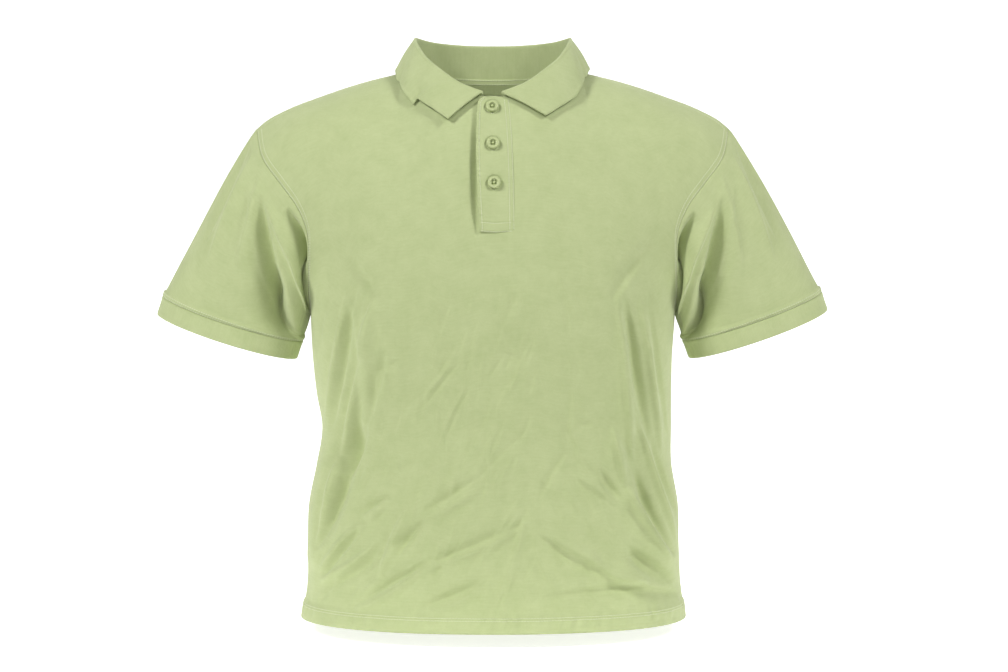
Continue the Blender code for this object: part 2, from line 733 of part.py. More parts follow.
def strip_grid():
    """The top strip's (u, v) places. Its upper corner on the wearer's right is rounded."""
    across, up = STRIP_GRID
    heights = list(np.linspace(STRIP_Z, STRIP_TOP_Z - STRIP_CORNER, up))
    corners = [0.0] * len(heights)
    for turn in np.radians(CORNER_TURNS):
        heights.append(STRIP_TOP_Z - STRIP_CORNER * (1 - math.sin(turn)))
        corners.append(STRIP_CORNER * (1 - math.cos(turn)))
    share = np.linspace(0, 1, across)
    edges = panel(FRONT, np.array([STRIP_RIGHT, STRIP_LEFT]), np.array([0.8, 0.8]))
    share_of_metre = (STRIP_LEFT - STRIP_RIGHT) / (edges[1, 0] - edges[0, 0])
    start = STRIP_RIGHT + np.array(corners)[:, None] * share_of_metre
    u = start + (STRIP_LEFT - start) * share
    v = np.broadcast_to(row_of_height(heights)[:, None], u.shape)
    return u, v


def make_placket(slot_v):
    """The under strip fills the slot, and the top strip lies over it."""
    across, up = UNDER_STRIP_GRID
    u, v = np.meshgrid(np.linspace(-SLOT_HALF, SLOT_HALF, across), np.linspace(slot_v, 1, up))
    points, normals = draped(FRONT, u, v)
    for axis in (0, 1):
        inset(points, axis, 0, SEAM_GAP)
        inset(points, axis, 1, SEAM_GAP)
    wall("placket_under", points, normals, CLOTH, GREEN)

    points, normals = draped(FRONT, *strip_grid())
    wall("placket_top", points + normals * (STRIP_LIFT + CLOTH), normals, CLOTH, GREEN)


def make_button(number, z):
    points, normals = draped(FRONT, np.zeros(1), row_of_height([z]))
    place = Vector(points[0] + normals[0] * (STRIP_LIFT + CLOTH + BUTTON_LIFT))
    profile = (
        (0.0, BUTTON_THICKNESS - BUTTON_DISH),
        (BUTTON_RADIUS - BUTTON_RIM, BUTTON_THICKNESS - BUTTON_DISH),
        (BUTTON_RADIUS - BUTTON_RIM * 0.7, BUTTON_THICKNESS),
        (BUTTON_RADIUS - BUTTON_RIM * 0.3, BUTTON_THICKNESS),
        (BUTTON_RADIUS, BUTTON_THICKNESS * 0.55),
        (BUTTON_RADIUS * 0.85, 0.0),
        (0.0, 0.0),
    )
    mesh = bpy.data.meshes.new(f"button_{number}")
    edges = [(place, place + 1) for place in range(len(profile) - 1)]
    mesh.from_pydata([(x, 0, z) for x, z in profile], edges, [])
    button = add(f"button_{number}", mesh, BUTTON_GREEN)
    button.location = place
    button.rotation_euler = Vector(normals[0]).to_track_quat("Z", "Y").to_euler()
    turned = button.modifiers.new("Turned", "SCREW")
    turned.steps = turned.render_steps = TURNED_STEPS
    turned.use_merge_vertices = True
    turned.merge_threshold = 0.00001
    for place in range(4):
        angle = math.radians(45 + 90 * place)
        bpy.ops.mesh.primitive_cylinder_add(
            vertices=8,
            radius=HOLE_RADIUS,
            depth=BUTTON_THICKNESS * 3,
            location=(HOLE_PITCH * math.cos(angle), HOLE_PITCH * math.sin(angle), BUTTON_THICKNESS / 2),
        )
        cutter = bpy.context.object
        cutter.name = f"button_{number}_hole_{place}"
        bpy.ops.object.transform_apply(location=True, rotation=True, scale=True)
        cutter.parent = button
        cutter.hide_render = True
        cutter.display_type = "WIRE"
        for collection in list(cutter.users_collection):
            collection.objects.unlink(cutter)
        CUTTERS.objects.link(cutter)
        hole = button.modifiers.new(f"Hole {place}", "BOOLEAN")
        hole.object = cutter


for old in list(bpy.data.objects):
    bpy.data.objects.remove(old, do_unlink=True)
PARTS = bpy.data.collections.new(NAME)
CUTTERS = bpy.data.collections.new(f"{NAME}_cutters")
bpy.context.scene.collection.children.link(PARTS)
bpy.context.scene.collection.children.link(CUTTERS)
make_shirt()
for place, height in enumerate(BUTTON_Z):
    make_button(place + 1, height)
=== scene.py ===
"""The looks of a short-sleeved polo shirt, filled out as if worn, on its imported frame.

Metres, +Z up. The front faces -Y and the wearer's left is +X. The shirt's form is worked out here
again from the same sizes as the solids, with many more points, and then gets its creases, seams and
sewing.

A panel is a sheet of points over (u, v). u runs across it, from -1 at the wearer's right side seam
or armhole to 1 at the left one. v runs up it, from -1 at the hem through 0 at the underarm to 1 at
the top.
"""

import math

import bpy
import numpy as np
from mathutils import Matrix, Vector


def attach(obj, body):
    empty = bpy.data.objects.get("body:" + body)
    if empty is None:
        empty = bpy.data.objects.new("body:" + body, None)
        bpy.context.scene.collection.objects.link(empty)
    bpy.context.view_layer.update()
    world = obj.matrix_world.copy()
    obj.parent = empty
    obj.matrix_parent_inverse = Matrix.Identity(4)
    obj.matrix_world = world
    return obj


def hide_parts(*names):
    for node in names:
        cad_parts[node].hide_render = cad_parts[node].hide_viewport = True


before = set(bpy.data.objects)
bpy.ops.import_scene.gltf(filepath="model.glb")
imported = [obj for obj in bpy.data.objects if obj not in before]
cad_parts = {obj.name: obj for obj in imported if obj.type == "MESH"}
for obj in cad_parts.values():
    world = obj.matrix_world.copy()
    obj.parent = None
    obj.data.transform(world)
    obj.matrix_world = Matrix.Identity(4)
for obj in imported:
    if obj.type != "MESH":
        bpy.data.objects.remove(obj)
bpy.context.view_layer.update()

FRONT = -1
BACK = 1
RIGHT = -1
LEFT = 1
TENTHS = 10000  # of a millimetre, in a metre

# the solids' cloth
CLOTH = 0.0016
TAPE = 0.001
SEAM_GAP = 0.0003

# levels and depths of the body
HEM_Z = -0.629
UNDERARM_Z = -0.277
CENTRE_LEAN = 0.028  # how far the front's middle drifts to the wearer's left, in u

# neckline
NECK_HALF_WIDTH = 0.1
NECK_HALF_DEPTH = 0.078
NECK_Y = -0.010
NECK_FRONT_Z = -0.038
NECK_SIDE_Z = 0.003
NECK_BACK_Z = -0.001
NECK_SHARE = 0.45  # the part of a panel's top, from its middle, that is neckline
NECK_SPREAD = 1.4

# z: half width on the right, on the left, depth in front, depth behind, squareness of the section
BODY_SECTIONS = (
    (-0.629, 0.2215, 0.2230, 0.127, 0.118, 2.30),
    (-0.600, 0.2165, 0.2190, 0.126, 0.117, 2.30),
    (-0.550, 0.2140, 0.2154, 0.124, 0.115, 2.30),
    (-0.500, 0.2128, 0.2142, 0.122, 0.113, 2.30),
    (-0.450, 0.2035, 0.2072, 0.120, 0.111, 2.30),
    (-0.408, 0.1985, 0.2080, 0.119, 0.109, 2.30),
    (-0.373, 0.2046, 0.2084, 0.121, 0.110, 2.32),
    (-0.330, 0.2093, 0.2090, 0.124, 0.113, 2.35),
    (-0.277, 0.2120, 0.2120, 0.127, 0.117, 2.35),
    (-0.250, 0.2130, 0.2130, 0.128, 0.118, 2.35),
)

# share of the shoulder from neck to tip: x, y, z of its seam
SHOULDER_SEAM = (
    (0.00, 0.1000, -0.010, 0.0030),
    (0.28, 0.1490, -0.015, -0.0110),
    (0.57, 0.2000, -0.016, -0.0275),
    (0.80, 0.2400, -0.014, -0.0425),
    (0.93, 0.2630, -0.012, -0.0545),
    (1.00, 0.2750, -0.010, -0.0640),
)

# height share v: x, y, z of the armhole's front edge, then y and z of its back edge
ARMHOLE = (
    (0.00, 0.2120, 0.000, -0.277, 0.000, -0.277),
    (0.12, 0.2110, -0.034, -0.260, 0.034, -0.259),
    (0.27, 0.2080, -0.062, -0.226, 0.058, -0.223),
    (0.42, 0.2080, -0.070, -0.190, 0.066, -0.184),
    (0.57, 0.2200, -0.067, -0.160, 0.066, -0.151),
    (0.72, 0.2400, -0.058, -0.133, 0.058, -0.120),
    (0.86, 0.2630, -0.041, -0.102, 0.037, -0.088),
    (1.00, 0.2750, -0.010, -0.064, -0.010, -0.064),
)
ARMHOLE_PULL = 3.5  # how closely the armhole's own shape stays near the edge of a panel

# |u|: how a column of a panel leaves the underarm's level (along the section, up)
# and the point x, y, z that it makes for before it bends to the top
FRONT_RISE = (
    (0.00, 0.000, 0.090, 0.0000, -0.120, -0.113),
    (0.25, 0.000, 0.090, 0.0640, -0.113, -0.092),
    (0.45, 0.000, 0.095, 0.1080, -0.098, -0.058),
    (0.60, 0.000, 0.100, 0.1450, -0.090, -0.043),
    (0.80, 0.030, 0.095, 0.1995, -0.087, -0.062),
    (0.92, 0.065, 0.070, 0.2297, -0.079, -0.093),
    (1.00, 0.090, 0.050, 0.2450, -0.072, -0.134),
)
BACK_RISE = (
    (0.00, 0.000, 0.120, 0.0000, 0.102, -0.041),
    (0.25, 0.000, 0.120, 0.0640, 0.095, -0.018),
    (0.45, 0.000, 0.120, 0.1080, 0.080, 0.014),
    (0.60, 0.000, 0.115, 0.1450, 0.072, 0.024),
    (0.80, 0.030, 0.105, 0.2015, 0.070, 0.002),
    (0.92, 0.065, 0.080, 0.2347, 0.067, -0.034),
    (1.00, 0.090, 0.055, 0.2550, 0.065, -0.074),
)
SOFT_TOP = (0, 0.12, 0.26, 0.60, 0.80, 0.92, 1)  # places of the top edge that make no corner
CORNER_REACH = 8  # how closely the neckline's corner stays near the top edge

# sleeve
CUFF_INNER = {RIGHT: (0.2292, -0.3307), LEFT: (0.2292, -0.3297)}
CUFF_OUTER = {RIGHT: (0.3918, -0.2781), LEFT: (0.3908, -0.2730)}
CUFF_HALF_DEPTH = 0.043
CUFF_DIP = 0.0080
CUFF_BAND = 0.022
CUFF_PROUD = 0.0005
SLEEVE_HANDLE = 0.3
SLEEVE_LIFT = 0.2
SLEEVE_OUT = (0.96, -0.28)  # the x and z of the way that the shoulder's line goes on

# collar: angle round the neck from the middle of the back
FOLD_HALF_WIDTH = 0.090
FOLD_BACK_DEPTH = 0.072
FOLD_FRONT_DEPTH = 0.0795
FOLD_RADIUS = 0.0024
LEAF_BULGE = 0.0015
FOLD_HEIGHT = (
    (0, 0.0460),
    (50, 0.0452),
    (80, 0.0440),
    (88, 0.0425),
    (98, 0.0365),
    (110, 0.0262),
    (123, 0.0118),
    (137, -0.0022),
    (158, -0.0233),
    (173.3, -0.0330),
)

# angle: the place (u, v) on a panel that the leaf's edge lies over, and how far above
LEAF_BACK = (
    (0, 0.000, 0.925, 0.006),
    (20, 0.162, 0.923, 0.006),
    (40, 0.276, 0.923, 0.006),
    (55, 0.361, 0.916, 0.006),
    (65, 0.417, 0.913, 0.006),
    (75, 0.462, 0.930, 0.006),
    (83, 0.479, 0.964, 0.006),
    (90, 0.488, 1.000, 0.005),
)
LEAF_FRONT_RIGHT = (
    (90.0, 0.492, 1.000, 0.005),
    (98.3, 0.470, 0.925, 0.006),
    (109.0, 0.405, 0.883, 0.006),
    (121.7, 0.354, 0.851, 0.0023),
    (127.8, 0.327, 0.894, 0.0030),
    (150.0, 0.259, 0.868, 0.0045),
    (173.3, 0.197, 0.828, 0.006),
)
LEAF_FRONT_LEFT = (
    (90.0, 0.485, 1.000, 0.004),
    (98.3, 0.468, 0.950, 0.005),
    (109.0, 0.402, 0.905, 0.008),
    (121.7, 0.372, 0.878, 0.006),
    (150.0, 0.294, 0.866, 0.0045),
    (173.3, 0.231, 0.840, 0.0065),
)
LEAF_EDGES = {
    (BACK, RIGHT): LEAF_BACK,
    (BACK, LEFT): LEAF_BACK,
    (FRONT, RIGHT): LEAF_FRONT_RIGHT,
    (FRONT, LEFT): LEAF_FRONT_LEFT,
}
LEAF_POINTS = (-127.8, -121.7, 121.7)  # corners of the leaves, which need a column each
# the crease across the right leaf: its angle at the fold and at the free edge, its width in
# degrees, and how far it stands out
LEAF_CREASE = (149, 125, 5, 0.0015)

# placket: places across the front panel, and heights
SLOT_HALF = 0.07
STRIP_RIGHT = -0.083
STRIP_LEFT = 0.096
SLOT_Z = -0.181
STRIP_Z = -0.193
STRIP_TOP_Z = -0.0408
STRIP_CORNER = 0.009
STRIP_LIFT = 0.0005

# buttons
BUTTON_Z = (-0.0520, -0.0942, -0.1381)
BUTTON_LIFT = 0.0008
BUTTON_RADIUS = 0.007
BUTTON_THICKNESS = 0.0026
BUTTON_EDGE = 0.0010
BUTTON_SINK = 0.0014  # how deep the strip is drawn in round a button
DISH_RADIUS = 0.0035
BOSS_RADIUS = 0.0015
DISH_DEPTH = 0.0015
HOLE_RADIUS = 0.0008
HOLE_PITCH = 0.0025
HOLE_DEPTH = 0.0010
HOLE_ANGLES = [math.pi / 4 + turn * math.pi / 2 for turn in range(4)]
RIM_SWELL = 0.0003
BUTTON_SIDES = 96
BUTTON_RINGS = [1e-5, *np.linspace(0.0003, 0.0038, 36), *np.linspace(0.0041, BUTTON_RADIUS, 20)]

# largest folds, in tenths of a millimetre: x and z of both ends, half width, and how far they stand
# out (+) or sink in (-)
FRONT_FOLDS = (
    (-1900, -4530, -2060, -5560, 110, 30),
    (1380, -4260, 1560, -4850, 110, 30),
    (1560, -4850, 1980, -5560, 110, 35),
    (1500, -4260, 1720, -4850, 100, -30),
    (1660, -5400, 2000, -5900, 140, -30),
    (200, -3300, -600, -4700, 200, -20),
    (-1780, -2150, -1500, -2850, 180, -30),
    (1800, -2150, 1550, -2900, 180, -30),
)
BACK_FOLDS = (
    (-1500, -3000, -1200, -4400, 200, -40),
    (-1200, -4400, -1650, -5500, 180, -50),
    (1550, -2900, 1350, -4200, 200, -40),
    (1350, -4200, 1750, -5400, 180, -45),
    (100, -3600, 700, -5000, 220, -30),
    (-1750, -2000, -1400, -2900, 180, -35),
    (1780, -2000, 1500, -2800, 180, -35),
)
FOLD_FREEDOM = (12, 0.2)  # how near they come to a panel's sides, as a power, and to its top
# turn round the sleeve, start and end along it, half width as a share of a turn, depth
SLEEVE_FOLDS = (
    (1.30, 0.05, 0.80, 0.070, -0.0040),
    (1.55, 0.10, 0.90, 0.070, -0.0045),
    (1.75, 0.10, 0.80, 0.060, -0.0035),
)
SLEEVE_FOLD_END = 0.15
SLEEVE_FOLD_FREEDOM = (0.15, 0.12)  # how near they come to the armhole and to the band

# ---------------------------------------------------------------- sizes of what is only seen

# creases, in tenths of a millimetre: start x, z, end x, z, bow sideways, half width, height
FRONT_CREASES = (
    # long folds at the wearer's right side
    (-1620, -2700, -1900, -5450, -200, 158, -120),
    (-1290, -2620, -1500, -3340, 0, 69, 78),
    (-1500, -3340, -1750, -4390, -20, 70, 90),
    (-1750, -4390, -2000, -5420, 8, 71, 90),
    (-1550, -2710, -1840, -4120, 14, 83, -84),
    (-1610, -2540, -1920, -4090, 14, 59, 54),
    (-1170, -3190, -1450, -4110, -23, 115, -69),
    (-1400, -4040, -1660, -4610, 0, 129, -108),
    (-1640, -4550, -2000, -5480, 0, 119, -108),
    # short ones across the waist
    (-1310, -3440, -1000, -3300, 10, 40, -14),
    (-1280, -3530, -1060, -3430, 10, 33, 9),
    (-330, -3330, -770, -3880, 12, 32, -17),
    (-410, -3310, -820, -3830, 12, 38, 12),
    (130, -3280, -50, -3540, 0, 28, -12),
    (100, -3220, 360, -3330, 0, 25, -9),
    (-380, -3160, -610, -3550, 11, 27, -12),
    (-280, -3600, -590, -4250, 23, 37, 15),
    (-230, -3610, -530, -4260, 23, 31, -14),
    (-560, -4170, -540, -4400, 0, 31, -12),
    (450, -4050, -210, -4680, 22, 48, -15),
    (890, -3390, 820, -4380, 11, 42, -14),
    (850, -4270, 490, -4870, 11, 44, -20),
    (920, -4010, 1110, -4020, 0, 27, -14),
    # slanting ones above the hem, at the wearer's right and in the middle
    (-140, -4580, -780, -4990, -22, 51, -41),
    (-80, -4660, -770, -5070, -22, 46, 32),
    (-1120, -4800, -1480, -5020, 0, 40, -26),
    (-1170, -4900, -1440, -5060, 0, 48, 44),
    (-730, -5070, -1060, -5500, 22, 63, -65),
    (-920, -4900, -1260, -5740, 23, 58, 59),
    (420, -5050, -880, -5590, -22, 58, -28),
    (-700, -5510, -1490, -6050, -11, 52, -54),
    (430, -5100, -870, -5650, -22, 44, 29),
    (-760, -5590, -1570, -6090, -11, 58, 60),
    (-950, -5250, -1980, -5940, -23, 85, -46),
    (-1260, -5310, -1970, -5810, -23, 59, 54),
    (-1450, -5190, -1920, -5770, 23, 59, -65),
    (-1520, -5150, -1970, -5720, 24, 50, 42),
    (-100, -5710, -810, -6020, -22, 51, -45),
    (-140, -5800, -730, -6080, -22, 49, 32),
    (350, -5000, -20, -6130, -33, 56, 32),
    (200, -5570, 50, -6090, 0, 48, -31),
    # long folds at the wearer's left side
    (1360, -2620, 1550, -4500, -13, 61, 78),
    (1460, -2620, 1770, -4210, -13, 74, -96),
    (1620, -2620, 1920, -4410, -14, 53, 65),
    (1740, -2650, 2010, -4240, -14, 50, -42),
    (1320, -4050, 1480, -4730, 11, 50, 65),
    (1480, -4730, 2020, -5580, 14, 57, 96),
    (1580, -4540, 2060, -5550, 15, 63, -102),
    (1620, -3980, 2100, -5440, 13, 46, 72),
    (1790, -4220, 2130, -5170, 13, 53, -60),
    # those above the hem, at the wearer's left
    (470, -5180, 1480, -5790, -33, 68, 51),
    (480, -5220, 1420, -5800, -30, 85, -36),
    (1510, -5380, 2050, -5820, 22, 95, -102),
    (1220, -5670, 1780, -5790, 0, 82, 72),
    (500, -5900, 1500, -5860, -33, 50, -36),
    (1120, -5780, 2160, -6000, -34, 66, -64),
    (880, -4560, 1390, -4940, -22, 58, 44),
    (1180, -4500, 1450, -4860, 11, 60, -52),
    # beside the placket's open edge
    (-170, -600, -165, -2000, 0, 50, -56),
    # from the armholes
    (-1700, -2050, -1250, -2700, -40, 84, -42),
    (1780, -2050, 1300, -2700, 40, 84, -42),
)
BACK_CREASES = (
    (-1600, -3100, -1400, -4300, 40, 70, -41),
    (-1250, -4500, -1700, -5450, 40, 60, 51),
    (1500, -3000, 1400, -4200, 30, 70, -38),
    (1300, -4400, 1720, -5300, 40, 60, 49),
    (200, -3700, 750, -4500, 40, 70, 36),
    (-300, -4200, 400, -5000, 50, 70, 31),
    (-800, -5000, -200, -5600, 50, 70, 36),
    (900, -5300, 300, -5900, 50, 70, 31),
    (-1500, -5600, -900, -6000, 40, 70, -41),
    (-1900, -1800, -1400, -2700, -40, 80, -41),
    (1900, -1800, 1400, -2700, 40, 80, -41),
    (0, -900, 100, -2200, 40, 80, 20),
)
# the same on a sleeve, where x is the way round from the underarm by the front, and z is the way
# down from the armhole
SLEEVE_CREASES = (
    (1780, 280, 660, 1460, 0, 90, 40),
    (1600, 300, 220, 1700, 0, 130, -230),
    (950, 800, 100, 2250, 0, 250, -200),
    (1500, 300, 200, 560, 120, 85, 80),
    (1280, 150, 40, 120, 30, 120, -260),
    (1940, 100, 1600, 1350, 0, 80, 46),
    (2050, 120, 1780, 1200, 0, 70, -38),
    (1720, 100, 1280, 1200, 0, 80, 42),
    (2420, 280, 3540, 1460, 0, 90, 50),
    (2620, 340, 3940, 1600, 0, 125, -110),
    (2620, 200, 3900, 300, -130, 80, 60),
    (2330, 500, 2580, 1300, 0, 70, 28),
)
SLEEVE_SHIFT = {RIGHT: 0.0, LEFT: 0.014}  # how much nearer to the body the folds of a sleeve lie
SLEEVE_CREASE_FREEDOM = (0.16, 0.04, 0.22)  # how near: the underarm, the armhole and the band
CREASE_FREEDOM = (10, 0.25)  # how near to a panel's sides, as a power, and to its top
CREASE_STEEP = 0.55  # shares of a crease's half width on its two sides, and at its ends
CREASE_GENTLE = 1.3
CREASE_TIP = 0.45

# fine creases
FINE_CREASES = 240
FINE_SEEDS = {FRONT: 5, BACK: 11}
FINE_X = 0.19
FINE_Z = (0.03, 0.40)  # above the hem: the lowest, and the range, which is drawn from FINE_BETA
FINE_BETA = (1.1, 1.9)
FINE_SIDE = 0.10  # past this they lean fully outward
FINE_MIDDLE = 0.05  # nearer to the middle than this they all lean one way
FINE_MIDDLE_SIDE = -0.7
FINE_LEAN = (14, 50, 12)  # degrees: everywhere, more where it is low, and the spread
FINE_LOW_Z = -0.30
FINE_LOW_RANGE = 0.30
FINE_LENGTH = (0.018, 0.080)
FINE_WIDTH = (0.0020, 0.0050)
FINE_SLOPE = (0.10, 0.36)  # height as a share of the half width
FINE_BOW = 0.06

# broad unevenness
SLACK = 0.0017
SLACK_PHASE = {FRONT: 0.4, BACK: 1.9}
SLACK_TOP = -0.20
SLACK_RANGE = 0.35

# sewing
SEAM_GROOVE = 0.0005
SEAM_WIDTH = 0.0010
SEAM_REACH = 0.003  # of the ripple along a seam that has no rows of stitches
ARMHOLE_STITCHES = (0.0016, 0.0068)
SHOULDER_STITCHES = (0.0016, 0.0055)
HEM_STITCHES = (0.0145, 0.0173)
ARMHOLE_SEWN = (0.02, 0.995)  # the v where the rows start and end
SHOULDER_SEWN = 0.985  # the u where they end
HEM_DEPTH = 0.0185
HEM_PROUD = 0.0014
HEM_PUCKER = 4  # times a seam's
FOLD_SOFT = 0.0004  # how softly a turned edge steps down
CUFF_STITCHES = (0.0012, 0.0050)
BOX_HEIGHT = 0.0105
STRIP_STITCHES = {"first": (0.0034,), "last": (0.0010, 0.0056), "low": (0.0010, BOX_HEIGHT)}
STRIP_OPEN_LIFT = 0.0040  # how far the strip's free edge and its sewn edge stand above the front
STRIP_SEWN_LIFT = 0.0006
STRIP_EDGE_GROOVE = 0.0008
STRIP_CELLS = (150, 46)  # up and across
UNDER_CELLS = (90, 24)
BOX_GROOVE = 0.0007
STITCH_GROOVE = 0.00028
STITCH_WIDTH = 0.0008
STITCH_LENGTH = 0.0024
STITCH_PITCH = 0.0031
PUCKER = 0.00022
PUCKER_PERIOD = 0.0085
THREAD_RADIUS = 0.00042
THREAD_SIDES = 5
THREAD_RINGS = (0, 0.2, 0.8, 1)
THREAD_GIRTH = (0.35, 1, 1, 0.35)
THREAD_LIFT = 0.6  # of its girth there, less THREAD_SINK of its radius, so that its ends dip
THREAD_SINK = 0.3
BAR_RADIUS = 0.0003  # of the thread that holds a button
BAR_SIDES = 8
BAR_RINGS = 9
BAR_LIFT = 0.0001
BAR_ARCH = 0.0003
BUTTONHOLE_HALF = 0.0085
BUTTONHOLE_HALF_WIDTH = 0.0009
BUTTONHOLE_PLACES = 12

# cloth as it really is
SHELL_CLOTH = 0.0011
RIB_SHELL = 0.0015
COLLAR_SHELL = SHELL_CLOTH * 1.1
CUFF_GAP = 0.0001
BAND_RIDGE = 0.0018  # height of the seam allowance that is sewn down above the band
BAND_RIDGE_WIDTH = 0.0058
CUFF_ROLL = 0.0004
CUFF_ROWS = 22
UNDERARM_TURN = 0.12  # how far in front of the sleeve's lowest line its seam lies, in turns
SLEEVE_ROUND = 0.42  # metres round a sleeve
SLEEVE_LENGTH = 0.20
COLLAR_ROLL = 0.0004
COLLAR_END_ROLL = 0.6  # of that, at the leaves' ends
COLLAR_EDGE = (0.0025, 0.0018, 0.0010)
COLLAR_WAVE = 0.0006
COLLAR_ROWS = (14, 12, 40)  # of the stand, the fold and the leaf
LEAF_START_ROWS = 6  # before the leaf has its full roll and wave
COLLAR_COLUMNS = 240
TAPE_SHELL = TAPE * 0.7
TAPE_START = -0.95  # its lower and upper edge, as shares of the stand's lowest third
TAPE_SHARE = 0.55
TAPE_LEAN = 0.0050  # how far its lower edge lies back towards the panel
TAPE_ROWS = 13
TAPE_STITCH_ROWS = (8, -2)
TAPE_END_ANGLE = 82
PANEL_CELLS = {FRONT: (330, 165, 100), BACK: (240, 120, 80)}
SLEEVE_CELLS = (300, 120)

# finishes, in linear light
CLOTH_COLOUR = (0.520, 0.588, 0.306)
CLOTH_SHADE = (0.410, 0.485, 0.222)
CLOTH_ROUGHNESS = 0.88
CLOTH_SHEEN = 0.28
TINT_SHARES = {"mottle": 1.4, "streaks": 0.5, "fibres": 0.3, "knit": 0.06}
TINT_LEVEL = 0.38  # taken off their sum
MOTTLE_SCALE = 45.0
FIBRE_SCALE = 900.0
STREAK_SCALE = 480.0
STREAK_DRAW = {"pique": (0.12, 1.0), "rib": (1.0, 0.06), "tape": (1.0, 0.06)}  # less: drawn out
SHEEN_TINT = (1.0, 1.0, 0.86)
THREAD_COLOUR = (0.74, 0.79, 0.54)
BUTTON_COLOUR = (0.50, 0.57, 0.28)
BUTTON_THREAD_COLOUR = (0.22, 0.28, 0.09)
FLOOR_COLOUR = (0.80, 0.80, 0.80)
PIQUE_PITCH = 0.0013
RIB_PITCH = 0.0016
TAPE_PITCH = 0.0008

# camera and light
METRES_PER_PIXEL = 0.00117
PHOTO_WIDTH = 1008
CAMERA_DISTANCE = 1.75
CAMERA_X = 0.013
CAMERA_Z = -0.305
SENSOR = 36
FLOOR_Z = -0.645
FLOOR_FRONT = -12.0
FLOOR_BACK = 1.2
ROOM_CURVE = 1.6
ROOM_HALF_WIDTH = 10.0
WALL_TOP = 4.5
# painted glow of the floor and wall, which keeps them white and pales the shadow under the hem
FLOOR_GLOW = 0.76
FLOOR_GLOW_FROM = (-0.29, -0.235)  # the y where it begins to glow, and where it does so fully
# name, place, aim, size, power
LIGHTS = (
    ("key_right", (-1.86, -1.56, 1.5), (0, 0, -0.3), (0.6, 0.6), 53.5),
    ("key_left", (1.96, -1.30, 1.55), (0, 0, -0.3), (0.6, 0.6), 44),
    ("front", (0.0, -2.9, 0.5), (0, 0, -0.2), (1.2, 0.6), 12),
)
WORLD_STRENGTH = 0.02


# ---------------------------------------------------------------- curves and sheets of points


def unit(vectors):
    return vectors / np.linalg.norm(vectors, axis=-1, keepdims=True)


def side_of(u):
    return np.where(u < 0, -1.0, 1.0)


def ramp(value, length):
    """0 below 0, 1 past a length, and straight between them."""
    return np.clip(value / length, 0, 1)


def through(at, table):
    """The smooth curve through a table's rows, whose first column says where each row is."""
    rows = np.asarray(table, float)
    knots, values = rows[:, 0], rows[:, 1:]
    slopes = np.gradient(values, knots, axis=0)
    at = np.asarray(at, float)
    row = np.clip(np.searchsorted(knots, at, side="right") - 1, 0, len(knots) - 2)
    span = (knots[row + 1] - knots[row])[..., None]
    t = (at[..., None] - knots[row][..., None]) / span
    start = (1 + 2 * t) * (1 - t) ** 2 * values[row] + t * (1 - t) ** 2 * span * slopes[row]
    end = t * t * (3 - 2 * t) * values[row + 1] - t * t * (1 - t) * span * slopes[row + 1]
    return start + end


def columns(at, table):
    """The same, with each of the table's columns by itself."""
    return np.moveaxis(through(at, table), -1, 0)


def bezier(t, start, leave, reach, end):
    t = t[..., None]
    return (
        (1 - t) ** 3 * start
        + 3 * t * (1 - t) ** 2 * leave
        + 3 * t * t * (1 - t) * reach
        + t**3 * end
    )


# ---------------------------------------------------------------- body


def section(angle, width, depth, squareness):
    """A point of a rounded section, at an angle from the middle of its panel."""
    across = np.abs(np.sin(angle)) / width
    away = np.abs(np.cos(angle)) / depth
    reach = (across**squareness + away**squareness) ** (-1 / squareness)
    return np.sin(angle) * reach, np.cos(angle) * reach


def torso(face, u, z):
    """The front or back at a level below the underarm."""
    right, left, front, back, squareness = columns(z, BODY_SECTIONS)
    lean = CENTRE_LEAN * (1 - u * u) if face == FRONT else 0
    x, y = section(
        (u + lean) * math.pi / 2,
        np.where(u < 0, right, left),
        front if face == FRONT else back,
        squareness,
    )
    return np.stack([x, face * y, z], -1)


def top_edge(face, u):
    """The neckline, and past NECK_SHARE the shoulder seam."""
    side, size = np.sign(u), np.abs(u)
    angle = np.minimum(size / NECK_SHARE, 1) ** NECK_SPREAD * math.pi / 2
    low = NECK_FRONT_Z if face == FRONT else NECK_BACK_Z
    neckline = np.stack(
        [
            NECK_HALF_WIDTH * np.sin(angle),
            NECK_Y + face * NECK_HALF_DEPTH * np.cos(angle),
            low + (NECK_SIDE_Z - low) * (1 - np.cos(angle)),
        ],
        -1,
    )
    share = np.clip((size - NECK_SHARE) / (1 - NECK_SHARE), 0, 1)
    edge = np.where((size <= NECK_SHARE)[..., None], neckline, through(share, SHOULDER_SEAM))
    edge[..., 0] *= side
    return edge


def soft_top(face, u):
    """The top edge with its corner at the neck smoothed away."""
    size = np.array(SOFT_TOP, float)
    edge = through(np.abs(u), np.column_stack([size, top_edge(face, size)]))
    edge[..., 0] *= side_of(u)
    return edge


def rise(face, u, v):
    """A column of a panel from the underarm's level to its top, as one free curve."""
    level = np.full(np.shape(u), UNDERARM_Z)
    low, soft = torso(face, u, level), soft_top(face, u)
    side = side_of(u)
    inward = unit(torso(face, u - side * 1e-3, level) - low)
    along, up, x, y, z = columns(np.abs(u), FRONT_RISE if face == FRONT else BACK_RISE)
    leave = low + inward * along[..., None] + np.stack([0 * up, 0 * up, up], -1)
    curve = bezier(v, low, leave, np.stack([side * x, y, z], -1), soft)
    return curve + (top_edge(face, u) - soft) * np.power(v, CORNER_REACH)[..., None]


def armhole(face, side, v):
    """The seam between a panel and the sleeve, from the underarm to the shoulder's tip."""
    x, *edges = columns(v, ARMHOLE)
    y, z = edges[:2] if face == FRONT else edges[2:]
    return np.stack([side * x, y, z], -1)


